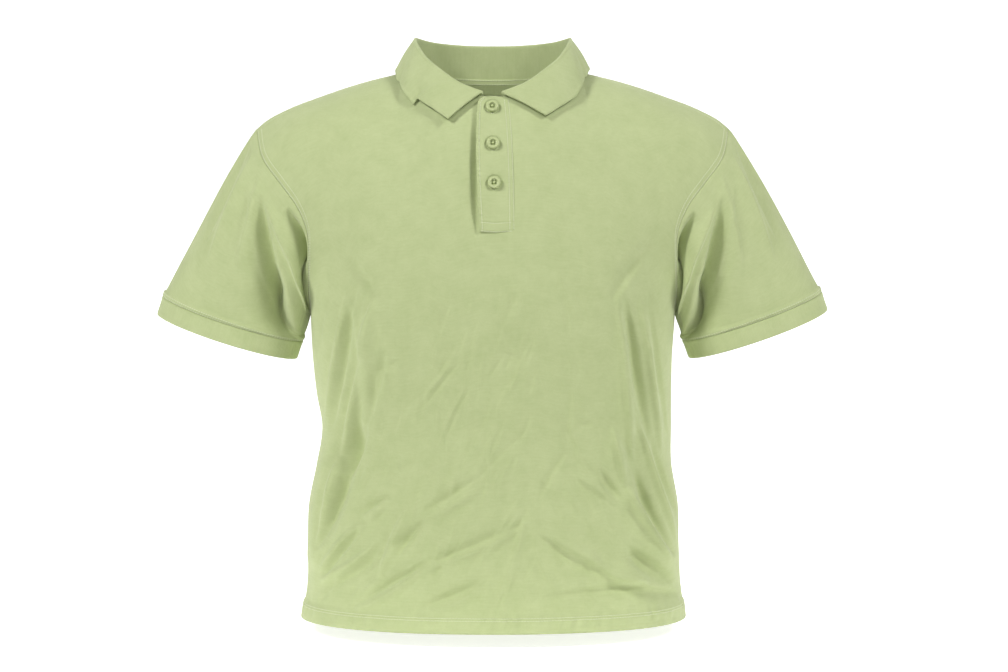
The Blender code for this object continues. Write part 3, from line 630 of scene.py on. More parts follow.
def panel(face, u, v):
    """The outer side of the front or back, with no folds."""
    below = torso(face, u, UNDERARM_Z + (UNDERARM_Z - HEM_Z) * np.minimum(v, 0))
    w = np.maximum(v, 0)
    side = side_of(u)
    pull = (np.abs(u) ** ARMHOLE_PULL)[..., None]
    above = rise(face, u, w) + pull * (armhole(face, side, w) - rise(face, side, w))
    return np.where((v < 0)[..., None], below, above)


def panel_normals(face, u, v):
    """A panel's normals, out of the body: a back's grid runs the other way round."""
    step = 2e-3
    u_low, u_high = np.clip(u - step, -1, 1), np.clip(u + step, -1, 1)
    v_low, v_high = np.clip(v - step, -1, 1), np.clip(v + step, -1, 1)
    across = panel(face, u_high, v) - panel(face, u_low, v)
    up = panel(face, u, v_high) - panel(face, u, v_low)
    return unit(np.cross(across, up)) * -face


def heading(x_start, z_start, x_end, z_end):
    """A line's length, and its direction in x and z."""
    length = math.hypot(x_end - x_start, z_end - z_start)
    return length, (x_end - x_start) / length, (z_end - z_start) / length


def fold_depth(x, z, folds):
    """How far the cloth is moved by the folds at a place seen from the front or back."""
    depth = np.zeros(np.shape(x))
    for x_start, z_start, x_end, z_end, half_width, height in folds:
        length, across, down = heading(x_start, z_start, x_end, z_end)
        along = np.clip((x - x_start) * across + (z - z_start) * down, 0, length)
        away = np.hypot(x - x_start - along * across, z - z_start - along * down)
        depth += height * np.exp(-((away / half_width) ** 2))
    return depth


def freedom(u, v, power, length):
    """1 within a panel, and less towards the side seams and the top, which hold the cloth."""
    return (1 - np.abs(u) ** power) * ramp(1 - v, length)


def draped(face, u, v):
    """Outer points and normals of the front or back, with its largest folds."""
    points, normals = panel(face, u, v), panel_normals(face, u, v)
    folds = np.array(FRONT_FOLDS if face == FRONT else BACK_FOLDS) / TENTHS
    depth = freedom(u, v, *FOLD_FREEDOM) * fold_depth(points[..., 0], points[..., 2], folds)
    return points + normals * depth[..., None], normals


# ---------------------------------------------------------------- sleeves


def band_edge(side, turn, above):
    """The sleeve's end, a distance above the edge of its opening."""
    (x_inner, z_inner), (x_outer, z_outer) = CUFF_INNER[side], CUFF_OUTER[side]
    inner, outer = np.array([x_inner, 0, z_inner]), np.array([x_outer, 0, z_outer])
    chord = outer - inner
    axis = unit(np.array([chord[2], 0, -chord[0]]))
    angle = turn * math.pi
    points = (
        (inner + outer) / 2
        - chord / 2 * np.cos(angle)[..., None]
        + np.array([0, -CUFF_HALF_DEPTH, -CUFF_DIP]) * np.sin(angle)[..., None]
        - axis * above
    )
    return points * np.array([side, 1, 1])


def sleeve(side, turn, along):
    """A sleeve's outer side. turn is 0 at the underarm, 1 at the shoulder's tip and 2 at the
    underarm again, by way of the front; along is 0 at the armhole and 1 at the band."""
    w = np.where(turn <= 1, turn, 2 - turn)
    start = np.where((turn <= 1)[..., None], armhole(FRONT, side, w), armhole(BACK, side, w))
    end = band_edge(side, turn, CUFF_BAND)
    chord = end - start
    length = np.linalg.norm(chord, axis=-1, keepdims=True)
    out = unit(np.array([SLEEVE_OUT[0] * side, 0, SLEEVE_OUT[1]]))
    lift = np.sin(np.minimum(w, 1) * math.pi / 2)[..., None] ** 2
    leave = unit(chord / length + out * SLEEVE_LIFT * lift)
    return bezier(
        along, start, start + leave * length * SLEEVE_HANDLE, end - chord * SLEEVE_HANDLE, end
    )


def sleeve_fold_depth(turn, along):
    depth = np.zeros(np.shape(turn))
    for middle, start, end, half_width, height in SLEEVE_FOLDS:
        away = (turn - middle) / half_width
        past = np.maximum(np.maximum(start - along, along - end), 0) / SLEEVE_FOLD_END
        depth += height * np.exp(-(away**2) - past**2)
    from_armhole, from_band = SLEEVE_FOLD_FREEDOM
    return depth * ramp(along, from_armhole) * ramp(1 - along, from_band)


def tube_normals(points, side):
    """Outward normals of a tube, whose rows are rings from its upper end to its lower one."""
    around = np.roll(points, -1, axis=1) - np.roll(points, 1, axis=1)
    down = np.gradient(points, axis=0)
    return unit(np.cross(down, around)) * side


# ---------------------------------------------------------------- collar


def fold_line(angle):
    """The highest line of the collar, where it turns down, and the way out from the neck there."""
    turn = np.radians(angle)
    depth = np.where(np.cos(turn) > 0, FOLD_BACK_DEPTH, FOLD_FRONT_DEPTH)
    height = through(np.abs(angle), FOLD_HEIGHT)[..., 0]
    points = np.stack([FOLD_HALF_WIDTH * np.sin(turn), NECK_Y + depth * np.cos(turn), height], -1)
    out = np.stack([np.sin(turn) / FOLD_HALF_WIDTH, np.cos(turn) / depth, 0 * turn], -1)
    return points, unit(out)


def straight_columns(at, table):
    """Each column of a table, read with straight runs between its rows."""
    rows = np.asarray(table, float)
    return [np.interp(at, rows[:, 0], column) for column in rows[:, 1:].T]


def leaf_edge(angle):
    """The collar's free edge, a little above the panels that it lies over."""
    points = np.zeros(np.shape(angle) + (3,))
    for (face, side), table in LEAF_EDGES.items():
        here = (np.abs(angle) <= 90) == (face == BACK)
        here &= (angle < 0) == (side == RIGHT)
        u, v, above = straight_columns(np.abs(angle[here]), table)
        on_panel, normals = draped(face, side * u, np.minimum(v, 1))
        points[here] = on_panel + normals * above[:, None]
    return points


def crease(angle, share):
    """How far the right leaf stands out in front of its crease, share of the way down the leaf."""
    at_fold, at_edge, width, height = LEAF_CREASE
    return height * ramp(-angle - at_fold - (at_edge - at_fold) * share, width)


def collar(angle, neck_seam, counts):
    """The collar's face: up the inside of the stand, over the fold and down the leaf's outside."""
    fold, out = fold_line(angle)
    edge = leaf_edge(angle)
    up = np.array([0, 0, 1.0])
    crown = fold - up * FOLD_RADIUS
    foot = neck_seam - out * (CLOTH + 2 * SEAM_GAP)
    stand_rows, fold_rows, leaf_rows = counts
    rows = []
    for share in np.linspace(0, 1, stand_rows + 1):
        rows.append(foot + (crown - out * FOLD_RADIUS - foot) * share)
    for share in np.linspace(0, 1, fold_rows + 1)[1:]:
        turn = share * math.pi
        rows.append(crown + FOLD_RADIUS * (up * math.sin(turn) - out * math.cos(turn)))
    start = rows[-1]
    for share in np.linspace(0, 1, leaf_rows + 1)[1:]:
        swell = LEAF_BULGE * math.sin(share * math.pi) + crease(angle, share)
        rows.append(start + (edge - start) * share + unit(out + up) * swell[:, None])
    return np.stack(rows)


def row_of_height(z):
    """The v of a height on the middle of the front."""
    v = np.linspace(0, 1, 201)
    heights = panel(FRONT, np.zeros(v.shape), v)[:, 2]
    return np.interp(z, heights, v)


# ---------------------------------------------------------------- fine relief of the cloth


def distances(points):
    """The way along the cloth from each edge of a grid: its first and last column and its low and
    high row."""
    across = np.linalg.norm(np.diff(points, axis=1), axis=-1)
    up = np.linalg.norm(np.diff(points, axis=0), axis=-1)
    from_first = np.concatenate([np.zeros((len(points), 1)), np.cumsum(across, axis=1)], axis=1)
    from_low = np.concatenate([np.zeros((1, points.shape[1])), np.cumsum(up, axis=0)], axis=0)
    return {
        "first": from_first,
        "last": from_first[:, -1:] - from_first,
        "low": from_low,
        "high": from_low[-1:] - from_low,
    }


def dip(away, at, half_width):
    """A bump of height 1 at a distance."""
    return np.exp(-(((away - at) / half_width) ** 2))


def step_down(away, at, soft):
    """1 near an edge and 0 past a distance from it."""
    return 1 / (1 + np.exp(np.clip((away - at) / soft, -30, 30)))


def pucker(along, period, seed):
    """An uneven ripple along a seam, between -1 and 1."""
    phase = 2 * math.pi * along / period
    uneven = np.sin(phase + 1.7 * np.sin(phase * 0.37 + seed))
    return 0.6 * uneven + 0.4 * np.sin(phase * 1.61 + seed * 2)


def seam_relief(away, along, seed, rows=()):
    """The groove of a seam, finer ones under its rows of stitches, and the ripple between them."""
    relief = -SEAM_GROOVE * dip(away, 0, SEAM_WIDTH)
    for row in rows:
        relief = relief - STITCH_GROOVE * dip(away, row, STITCH_WIDTH)
    reach = max(rows, default=SEAM_REACH)
    return relief + PUCKER * pucker(along, PUCKER_PERIOD, seed) * dip(away, reach * 0.6, reach)


def crease_depth(x, z, creases):
    """Creases, each bowed sideways, steeper on one side, and running out at both of its ends."""
    depth = np.zeros(np.shape(x))
    for x_start, z_start, x_end, z_end, bow, half_width, height in creases:
        length, across, down = heading(x_start, z_start, x_end, z_end)
        along = ((x - x_start) * across + (z - z_start) * down) / length
        inside = np.clip(along, 0, 1)
        away = (x - x_start) * down - (z - z_start) * across - bow * 4 * inside * (1 - inside)
        past = np.abs(along - inside) * length
        taper = 4 * inside * (1 - inside)
        slope = np.where(away * height > 0, CREASE_STEEP, CREASE_GENTLE)
        reach = half_width * slope * (CREASE_TIP + (1 - CREASE_TIP) * taper)
        depth += height * taper * np.exp(-((away / reach) ** 2) - (past / half_width) ** 2)
    return depth


def fine_creases(face):
    """Small, shallow creases between the listed ones. They lean the way that the cloth is
    drawn: down and outward at the sides, and flatter towards the hem."""
    draw = np.random.default_rng(FINE_SEEDS[face])
    lowest, height_range = FINE_Z
    upright, flatter, spread = FINE_LEAN
    rows = []
    for _ in range(FINE_CREASES):
        x = draw.uniform(-FINE_X, FINE_X)
        z = HEM_Z + lowest + height_range * draw.beta(*FINE_BETA)
        low = ramp(FINE_LOW_Z - z, FINE_LOW_RANGE)
        side = np.clip(x / FINE_SIDE, -1, 1) if abs(x) > FINE_MIDDLE else FINE_MIDDLE_SIDE
        slant = upright + flatter * low * (1 - 0.5 * abs(side))
        lean = side * math.radians(draw.normal(slant, spread))
        length = draw.uniform(*FINE_LENGTH)
        reach_x, reach_z = length / 2 * math.sin(lean), length / 2 * math.cos(lean)
        half_width = draw.uniform(*FINE_WIDTH)
        height = draw.choice([-1, 1]) * half_width * draw.uniform(*FINE_SLOPE)
        bow = draw.normal(0, FINE_BOW) * length
        rows.append((x - reach_x, z + reach_z, x + reach_x, z - reach_z, bow, half_width, height))
    return rows


def slack(face, x, z):
    """The broad unevenness of hanging cloth, more of it towards the hem."""
    phase = SLACK_PHASE[face]
    waves = (
        np.sin(x * 27 + 2.1 * np.sin(z * 9 + phase) + phase)
        + 0.7 * np.sin(x * 44 - z * 17 + 1.3 + phase)
        + 0.6 * np.sin(x * 13 + z * 31 + 2.4 * phase)
    )
    return SLACK * (0.25 + 0.75 * ramp(SLACK_TOP - z, SLACK_RANGE)) * waves


# ---------------------------------------------------------------- meshes


def cells_of(rows, across, closed):
    """The four corners of each cell of a grid of points, row by row. A closed grid's last column
    is joined to its first."""
    cells = across if closed else across - 1
    row, column = np.divmod(np.arange((rows - 1) * cells), cells)
    beside = (column + 1) % across
    low, high = row * across, (row + 1) * across
    return np.stack([low + column, low + beside, high + beside, high + column], -1)


def shell(name, outer, normals, thickness, closed=False, left_out=None, lined=True):
    """A closed wall between a grid of outer points and the same points moved in, with UVs in
    metres. One that isn't lined is a single layer of cloth with its edges turned in."""
    rows, across = outer.shape[:2]
    count = rows * across
    ring = cells_of(rows, across, closed)
    cells = len(ring) // (rows - 1)
    kept = np.ones((rows - 1, cells), bool)
    if left_out is not None:
        kept &= ~left_out
    ring = ring[kept.ravel()]
    row, column = np.nonzero(kept)
    padded = np.zeros((rows + 1, cells + 2), bool)
    padded[1:rows, 1 : cells + 1] = kept
    if closed:
        padded[:, 0], padded[:, -1] = padded[:, -2], padded[:, 1]
    faces = [ring, ring[:, ::-1] + count] if lined else [ring]
    beside = ((row, column + 1), (row + 1, column + 2), (row + 2, column + 1), (row + 1, column))
    for place, neighbour in enumerate(beside):
        bare = ~padded[neighbour]
        start, end = ring[bare, place], ring[bare, (place + 1) % 4]
        faces.append(np.stack([end, start, start + count, end + count], -1))
    faces = np.concatenate(faces)
    diagonals = np.cross(outer[1:, 1:] - outer[:-1, :-1], outer[1:, :-1] - outer[:-1, 1:])
    if np.sum(diagonals * normals[:-1, :-1]) < 0:
        faces = faces[:, ::-1]
    inner = outer - normals * np.broadcast_to(thickness, (rows, across))[..., None]
    points = np.concatenate([outer.reshape(-1, 3), inner.reshape(-1, 3)])
    away = distances(outer)
    flat = np.stack([away["first"] - away["first"][:, -1:] / 2, away["low"]], -1).reshape(-1, 2)
    used, faces = np.unique(faces, return_inverse=True)
    return piece(name, points[used], faces.reshape(-1, 4), np.concatenate([flat, flat])[used])


def piece(name, points, faces, flat=None):
    """A smooth mesh object, linked to the scene, with a cloth UV layer when flat places are given.
    """
    mesh = bpy.data.meshes.new(name)
    mesh.vertices.add(len(points))
    mesh.vertices.foreach_set("co", np.asarray(points, np.float32).ravel())
    sides = faces.shape[1]
    mesh.loops.add(faces.size)
    mesh.loops.foreach_set("vertex_index", faces.astype(np.int32).ravel())
    mesh.polygons.add(len(faces))
    mesh.polygons.foreach_set("loop_start", np.arange(0, faces.size, sides, dtype=np.int32))
    mesh.update(calc_edges=True)
    mesh.validate()
    mesh.shade_smooth()
    if flat is not None:
        layer = mesh.uv_layers.new(name="cloth")
        layer.data.foreach_set("uv", flat[faces.ravel()].astype(np.float32).ravel())
    thing = bpy.data.objects.new(name, mesh)
    bpy.context.scene.collection.objects.link(thing)
    return thing


def dressed(thing, material, slot, *nodes):
    """Gives a piece its finish and its place in the frame."""
    thing.data.materials.append(material)
    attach(thing, "root")
    if nodes:
        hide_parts(*nodes)
    return thing


def thread_rings(centre, aside, out, girth, sides):
    """The rings of points round a thread."""
    turn = np.arange(sides)[:, None] * 2 * math.pi / sides
    around = aside[:, None] * np.cos(turn) + out[:, None] * np.sin(turn)
    return centre[:, None] + around * np.reshape(girth, (-1, 1, 1))


def threads(name, rings, material, slot):
    """One piece of many threads, each of which is a stack of rings."""
    count, length, sides = np.shape(rings)[:3]
    first = np.arange(count)[:, None, None] * length * sides
    faces = (cells_of(length, sides, True) + first).reshape(-1, 4)
    return dressed(piece(name, np.reshape(rings, (-1, 3)), faces), material, slot)


def stitches(name, lines, material, slot):
    """Rows of short threads that lie on the cloth. Each line is its points and normals."""
    girth = THREAD_RADIUS * np.array(THREAD_GIRTH)
    lift = (girth * THREAD_LIFT - THREAD_RADIUS * THREAD_SINK)[:, None]
    rings = []
    for points, normals in lines:
        steps = np.linalg.norm(np.diff(points, axis=0), axis=-1)
        way = np.concatenate([[0], np.cumsum(steps)])
        for start in np.arange(STITCH_PITCH * 0.3, way[-1] - STITCH_LENGTH, STITCH_PITCH):
            at = start + STITCH_LENGTH * np.array(THREAD_RINGS)
            centre = np.stack([np.interp(at, way, column) for column in points.T], -1)
            out = unit(np.stack([np.interp(at, way, column) for column in normals.T], -1))
            aside = unit(np.cross(out, unit(centre[-1] - centre[0])))
            rings.append(thread_rings(centre + out * lift, aside, out, girth, THREAD_SIDES))
    return threads(name, rings, material, slot)


# ---------------------------------------------------------------- finishes


class Nodes:
    """Short calls for the nodes of one material."""

    def __init__(self, name, colour, roughness, sheen=0.0, sheen_tint=(1, 1, 1), specular=0.2):
        self.material = bpy.data.materials.new(name)
        self.material.use_nodes = True
        self.tree = self.material.node_tree
        self.shader = self.tree.nodes["Principled BSDF"]
        self.shader.inputs["Roughness"].default_value = roughness
        self.shader.inputs["Base Color"].default_value = (*colour, 1)
        self.shader.inputs["Sheen Weight"].default_value = sheen
        self.shader.inputs["Sheen Roughness"].default_value = 0.5
        self.shader.inputs["Sheen Tint"].default_value = (*sheen_tint, 1)
        self.shader.inputs["Specular IOR Level"].default_value = specular

    def add(self, kind, settings=(), **inputs):
        """A new node's outputs. Its inputs are named, with _ for a space, or numbered: i0, i1."""
        node = self.tree.nodes.new(kind)
        for name, value in settings:
            setattr(node, name, value)
        for name, value in inputs.items():
            numbered = name[0] == "i" and name[1:].isdigit()
            socket = node.inputs[int(name[1:]) if numbered else name.replace("_", " ")]
            if isinstance(value, bpy.types.NodeSocket):
                self.tree.links.new(value, socket)
            else:
                socket.default_value = value
        return node.outputs

    def math(self, operation, *values, clamp=False):
        settings = [("operation", operation), ("use_clamp", clamp)]
        return self.add("ShaderNodeMath", settings, **{f"i{n}": v for n, v in enumerate(values)})[0]

    def wave(self, value, period):
        """A sine of a length in metres."""
        return self.math("SINE", self.math("MULTIPLY_ADD", value, 2 * math.pi / period, 0.0))

    def place(self):
        """A point's place, in metres."""
        return self.add("ShaderNodeTexCoord")["Object"]

    def noise(self, place, scale, **inputs):
        return self.add("ShaderNodeTexNoise", Vector=place, Scale=scale, **inputs)[0]

    def tint(self, share, dark, light):
        """Colours the shader between two colours."""
        colours = {"i6": (*dark, 1), "i7": (*light, 1)}
        mix = self.add("ShaderNodeMix", [("data_type", "RGBA")], i0=share, **colours)
        self.tree.links.new(mix[2], self.shader.inputs["Base Color"])

    def bump(self, height, strength, distance):
        bump = self.add("ShaderNodeBump", Strength=strength, Distance=distance, Height=height)
        self.tree.links.new(bump[0], self.shader.inputs["Normal"])


def cloth_finish(name, pattern, relief):
    """Dyed cotton: a knit in the cloth's own metres, faint mottling, and a soft nap. pattern is
    pique, rib or tape."""
    nodes = Nodes(name, CLOTH_COLOUR, CLOTH_ROUGHNESS, CLOTH_SHEEN, SHEEN_TINT)
    flat = nodes.add("ShaderNodeUVMap", [("uv_map", "cloth")])[0]
    u, v, _ = nodes.add("ShaderNodeSeparateXYZ", Vector=flat)
    drawn_u, drawn_v = STREAK_DRAW[pattern]
    x, y = nodes.math("MULTIPLY", u, drawn_u), nodes.math("MULTIPLY", v, drawn_v)
    grain = nodes.add("ShaderNodeCombineXYZ", X=x, Y=y)[0]
    streaks = nodes.noise(grain, STREAK_SCALE, Detail=2.0)
    if pattern == "pique":
        knit = nodes.math("MULTIPLY", nodes.wave(u, PIQUE_PITCH), nodes.wave(v, PIQUE_PITCH * 1.15))
    elif pattern == "rib":
        knit = nodes.wave(u, RIB_PITCH)
    else:
        slope = nodes.math("ABSOLUTE", nodes.wave(u, TAPE_PITCH * 6))
        knit = nodes.wave(nodes.math("MULTIPLY_ADD", slope, TAPE_PITCH * 2, v), TAPE_PITCH)
    mottle = nodes.noise(nodes.place(), MOTTLE_SCALE, Detail=7.0, Roughness=0.75)
    fibres = nodes.noise(nodes.place(), FIBRE_SCALE, Detail=2.0)
    shade = nodes.math("MULTIPLY", knit, TINT_SHARES["knit"])
    shade = nodes.math("MULTIPLY_ADD", mottle, TINT_SHARES["mottle"], shade)
    shade = nodes.math("MULTIPLY_ADD", streaks, TINT_SHARES["streaks"], shade)
    shade = nodes.math("SUBTRACT", shade, TINT_LEVEL)
    shade = nodes.math("MULTIPLY_ADD", fibres, TINT_SHARES["fibres"], shade)
    nodes.tint(shade, CLOTH_SHADE, CLOTH_COLOUR)
    depth = nodes.math("MULTIPLY_ADD", knit, 0.5, nodes.math("MULTIPLY", fibres, 0.9))
    nodes.bump(depth, 0.55, relief)
    return nodes.material


def thread_finish(name, colour):
    nodes = Nodes(name, colour, 0.6, 0.2)
    nodes.tint(nodes.noise(nodes.place(), 1500.0), [c * 0.82 for c in colour], colour)
    return nodes.material


def button_finish():
    """Dyed plastic with a faint cloud of pearl in it."""
    nodes = Nodes("button_plastic", BUTTON_COLOUR, 0.32, specular=0.5)
    cloud = nodes.noise(nodes.place(), 160.0, Detail=3.0, Distortion=1.5)
    light = [min(1, c * 1.12) for c in BUTTON_COLOUR]
    nodes.tint(cloud, [c * 0.86 for c in BUTTON_COLOUR], light)
    nodes.bump(cloud, 0.15, 0.0001)
    return nodes.material


# ---------------------------------------------------------------- the panels


def fine(places, count):
    """Evenly spaced places between the ends, with each of the given ones among them."""
    even = np.linspace(places[0], places[-1], count)
    kept = [x for x in even if np.min(np.abs(np.array(places) - x)) > 0.3 * (even[1] - even[0])]
    return np.array(sorted([*places, *kept]))


def body_places(face):
    across, below, above = PANEL_CELLS[face]
    u = fine([-1, -NECK_SHARE, -SLOT_HALF, SLOT_HALF, NECK_SHARE, 1], across)
    v = np.concatenate([fine([-1, 0], below)[:-1], fine([0, row_of_height(SLOT_Z), 1], above)])
    return np.meshgrid(u, v)


def body_panel(face):
    """The fine places, points and normals of a panel, with its creases and its sewn edges."""
    u, v = body_places(face)
    points, normals = draped(face, u, v)
    creases = np.array(FRONT_CREASES if face == FRONT else BACK_CREASES) / TENTHS
    x, z = points[..., 0], points[..., 2]
    free = freedom(u, v, *CREASE_FREEDOM) * np.clip((v + 1) / 0.05, 0.35, 1)
    relief = free * (crease_depth(x, z, [*creases, *fine_creases(face)]) + slack(face, x, z))
    away = distances(points)
    low, first, side = away["low"], away["first"], np.minimum(away["first"], away["last"])
    at_armhole = seam_relief(side, low, 1.3, ARMHOLE_STITCHES)
    relief += np.where(v > 0, at_armhole, seam_relief(side, low, 2.2))
    shoulder = seam_relief(away["high"], first, 0.6, SHOULDER_STITCHES if face == FRONT else ())
    relief += np.where(np.abs(u) > NECK_SHARE, shoulder, 0)
    relief += HEM_PROUD * step_down(low, HEM_DEPTH + 0.001, FOLD_SOFT)
    for row in HEM_STITCHES:
        relief -= STITCH_GROOVE * dip(low, row, STITCH_WIDTH)
    ripple = pucker(first, PUCKER_PERIOD * 2.4, 3.1 * face)
    relief += PUCKER * HEM_PUCKER * ripple * dip(low, 0.013, 0.010)
    return u, v, points + normals * relief[..., None], normals


def grid_normals(points):
    """Normals that follow a grid's relief, so that a wall keeps its thickness in the creases."""
    return unit(np.cross(np.gradient(points, axis=1), np.gradient(points, axis=0)))


def sampled(grid, rows_at, columns_at):
    """A grid read between its rows and columns."""
    r = np.clip(np.floor(rows_at).astype(int), 0, grid.shape[0] - 2)
    c = np.clip(np.floor(columns_at).astype(int), 0, grid.shape[1] - 2)
    s, t = (rows_at - r)[:, None], (columns_at - c)[:, None]
    low = grid[r, c] * (1 - t) + grid[r, c + 1] * t
    high = grid[r + 1, c] * (1 - t) + grid[r + 1, c + 1] * t
    return low * (1 - s) + high * s


def line_at(points, normals, rows_at, columns_at):
    """Points and normals along a line of places between a grid's rows and columns."""
    return sampled(points, rows_at, columns_at), unit(sampled(normals, rows_at, columns_at))


def line_inside(points, normals, edge, distance, chosen):
    """A line on a grid at a distance from one of its edges. It has a place in each of the chosen
    rows, or of the chosen columns along a low or high edge."""
    away = distances(points)[edge]
    sideways = edge in ("low", "high")
    if sideways:
        away = away.T
    order = slice(None, None, -1 if edge in ("last", "high") else 1)
    places = np.arange(away.shape[1])[order]
    found = [np.interp(distance, away[k][order], places) for k in chosen]
    rows_at, columns_at = (found, chosen) if sideways else (chosen, found)
    return line_at(points, normals, np.array(rows_at, float), np.array(columns_at, float))


def between(places, start, end):
    return np.flatnonzero((places >= start) & (places <= end))


def make_body(finish, thread):
    for face, name in ((FRONT, "front"), (BACK, "back")):
        u, v, points, normals = body_panel(face)
        left_out = None
        if face == FRONT:
            middle = np.abs(u[0, :-1] + u[0, 1:]) / 2 < SLOT_HALF
            left_out = (v[:-1, :1] >= row_of_height(SLOT_Z) - 1e-9) & middle
        in_hem = distances(points)["low"] < HEM_DEPTH
        thick = np.where(in_hem, SHELL_CLOTH + HEM_PROUD, SHELL_CLOTH)
        walls = grid_normals(points)
        walls = walls * np.sign(np.sum(walls * normals, axis=-1, keepdims=True))
        cloth = shell(f"{name}_cloth", points, walls, thick, left_out=left_out, lined=False)
        dressed(cloth, finish, "body_cloth", name)
        beside = between(v[:, 0], *ARMHOLE_SEWN)
        rows = [(edge, row, beside) for row in ARMHOLE_STITCHES for edge in ("first", "last")]
        rows += [("low", row, between(u[0], -1, 1)) for row in HEM_STITCHES]
        if face == FRONT:
            ends = ((-SHOULDER_SEWN, -NECK_SHARE), (NECK_SHARE, SHOULDER_SEWN))
            shoulders = [between(u[0], *places) for places in ends]
            rows += [("high", row, chosen) for row in SHOULDER_STITCHES for chosen in shoulders]
        lines = [line_inside(points, normals, *row) for row in rows]
        sewing = stitches(f"{name}_stitches", lines, thread, "body_cloth")


# ---------------------------------------------------------------- sleeves and cuffs


def sleeve_creases(side, turns, alongs):
    """The creases of a sleeve, which run out before its seams."""
    from_underarm, from_armhole, from_band = SLEEVE_CREASE_FREEDOM
    shift = np.where(turns < 1, SLEEVE_SHIFT[side], -SLEEVE_SHIFT[side]) * np.abs(1 - turns)
    x, z = turns * SLEEVE_ROUND / 2 + shift, alongs * SLEEVE_LENGTH
    room = np.sin(ramp(np.minimum(turns, 2 - turns), from_underarm) * math.pi / 2)
    depth = crease_depth(x, z, np.array(SLEEVE_CREASES) / TENTHS)
    depth = depth * room * ramp(alongs, from_armhole)
    return depth * np.sin(ramp(1 - alongs, from_band) * math.pi / 2)


def underarm_groove(turn, depth, width):
    """The groove of the underarm seam, which lies a little in front of the sleeve's lowest line."""
    away = np.abs(turn - UNDERARM_TURN)
    return depth * dip(np.minimum(away, 2 - away) * SLEEVE_ROUND / 2, 0, width)


def make_sleeve(side, name, finish, rib, thread):
    turn = np.linspace(0, 2, SLEEVE_CELLS[0], endpoint=False)
    turns, alongs = np.meshgrid(turn, np.linspace(0, 1, SLEEVE_CELLS[1]))
    smooth = sleeve(side, turns, alongs)
    normals = tube_normals(smooth, side)
    relief = sleeve_fold_depth(turns, alongs) + sleeve_creases(side, turns, alongs)
    waves = SLACK * 0.5 * np.sin(turns * 9.4 + alongs * 6 + side)
    relief += waves * alongs * ramp(1 - alongs, 0.2)
    away = distances(smooth)
    first, low, high = away["first"], away["low"], away["high"]
    relief += seam_relief(low, first, 1.1 + side)
    relief += BAND_RIDGE * (step_down(high, BAND_RIDGE_WIDTH, FOLD_SOFT) - dip(high, 0, 0.0016))
    relief += PUCKER * pucker(first, PUCKER_PERIOD, 0.4 + side) * dip(high, 0.003, 0.004)
    relief -= underarm_groove(turns, SEAM_GROOVE * 0.7, SEAM_WIDTH)
    points = smooth + normals * relief[..., None]
    cloth = shell(f"sleeve_{name}_cloth", points, normals, SHELL_CLOTH, closed=True, lined=False)
    dressed(cloth, finish, "body_cloth", f"sleeve_{name}")
    cuff = make_cuff(side, name, turn, rib)

    joined = [np.concatenate([grid, grid[:, :1]], axis=1) for grid in (points, normals)]
    columns_at = np.arange(len(turn) + 1.0)
    lines = []
    for row in CUFF_STITCHES:
        rows_at = np.full(len(columns_at), (1 - row / SLEEVE_LENGTH) * (len(points) - 1))
        lines.append(line_at(*joined, rows_at, columns_at))
    sewing = stitches(f"sleeve_{name}_stitches", lines, thread, "body_cloth")


def make_cuff(side, name, turn, rib):
    """A rib band, a little rolled below its seam and drawn in at both of its edges."""
    above = np.linspace(CUFF_BAND - CUFF_GAP, 0, CUFF_ROWS)
    band = np.stack([band_edge(side, turn, height) for height in above])
    normals = tube_normals(band, side)
    down = CUFF_BAND - above[:, None]
    rolled = CUFF_PROUD + CUFF_ROLL * dip(down, 0.0022, 0.0016) - CUFF_ROLL * dip(down, 0, 0.0009)
    rolled = rolled - CUFF_ROLL * dip(down, CUFF_BAND, 0.0010)
    rolled = rolled - underarm_groove(turn, 2 * SEAM_GROOVE, 1.3 * SEAM_WIDTH)
    ripple = PUCKER * pucker(turn * SLEEVE_ROUND / 2, PUCKER_PERIOD, side)
    relief = rolled + ripple * dip(down, 0.004, 0.005)
    band = band + normals * relief[..., None]
    cuff = shell(f"cuff_{name}_rib", band, normals, RIB_SHELL, closed=True)
    return dressed(cuff, rib, "rib_cloth", f"cuff_{name}")


# ---------------------------------------------------------------- collar, tape and placket


def rolled_edge(away):
    """A rib's edge: a ridge a little inside it, and a drop at the edge itself."""
    ridge_at, ridge_width, drop_width = COLLAR_EDGE
    return dip(away, ridge_at, ridge_width) - dip(away, 0, drop_width)


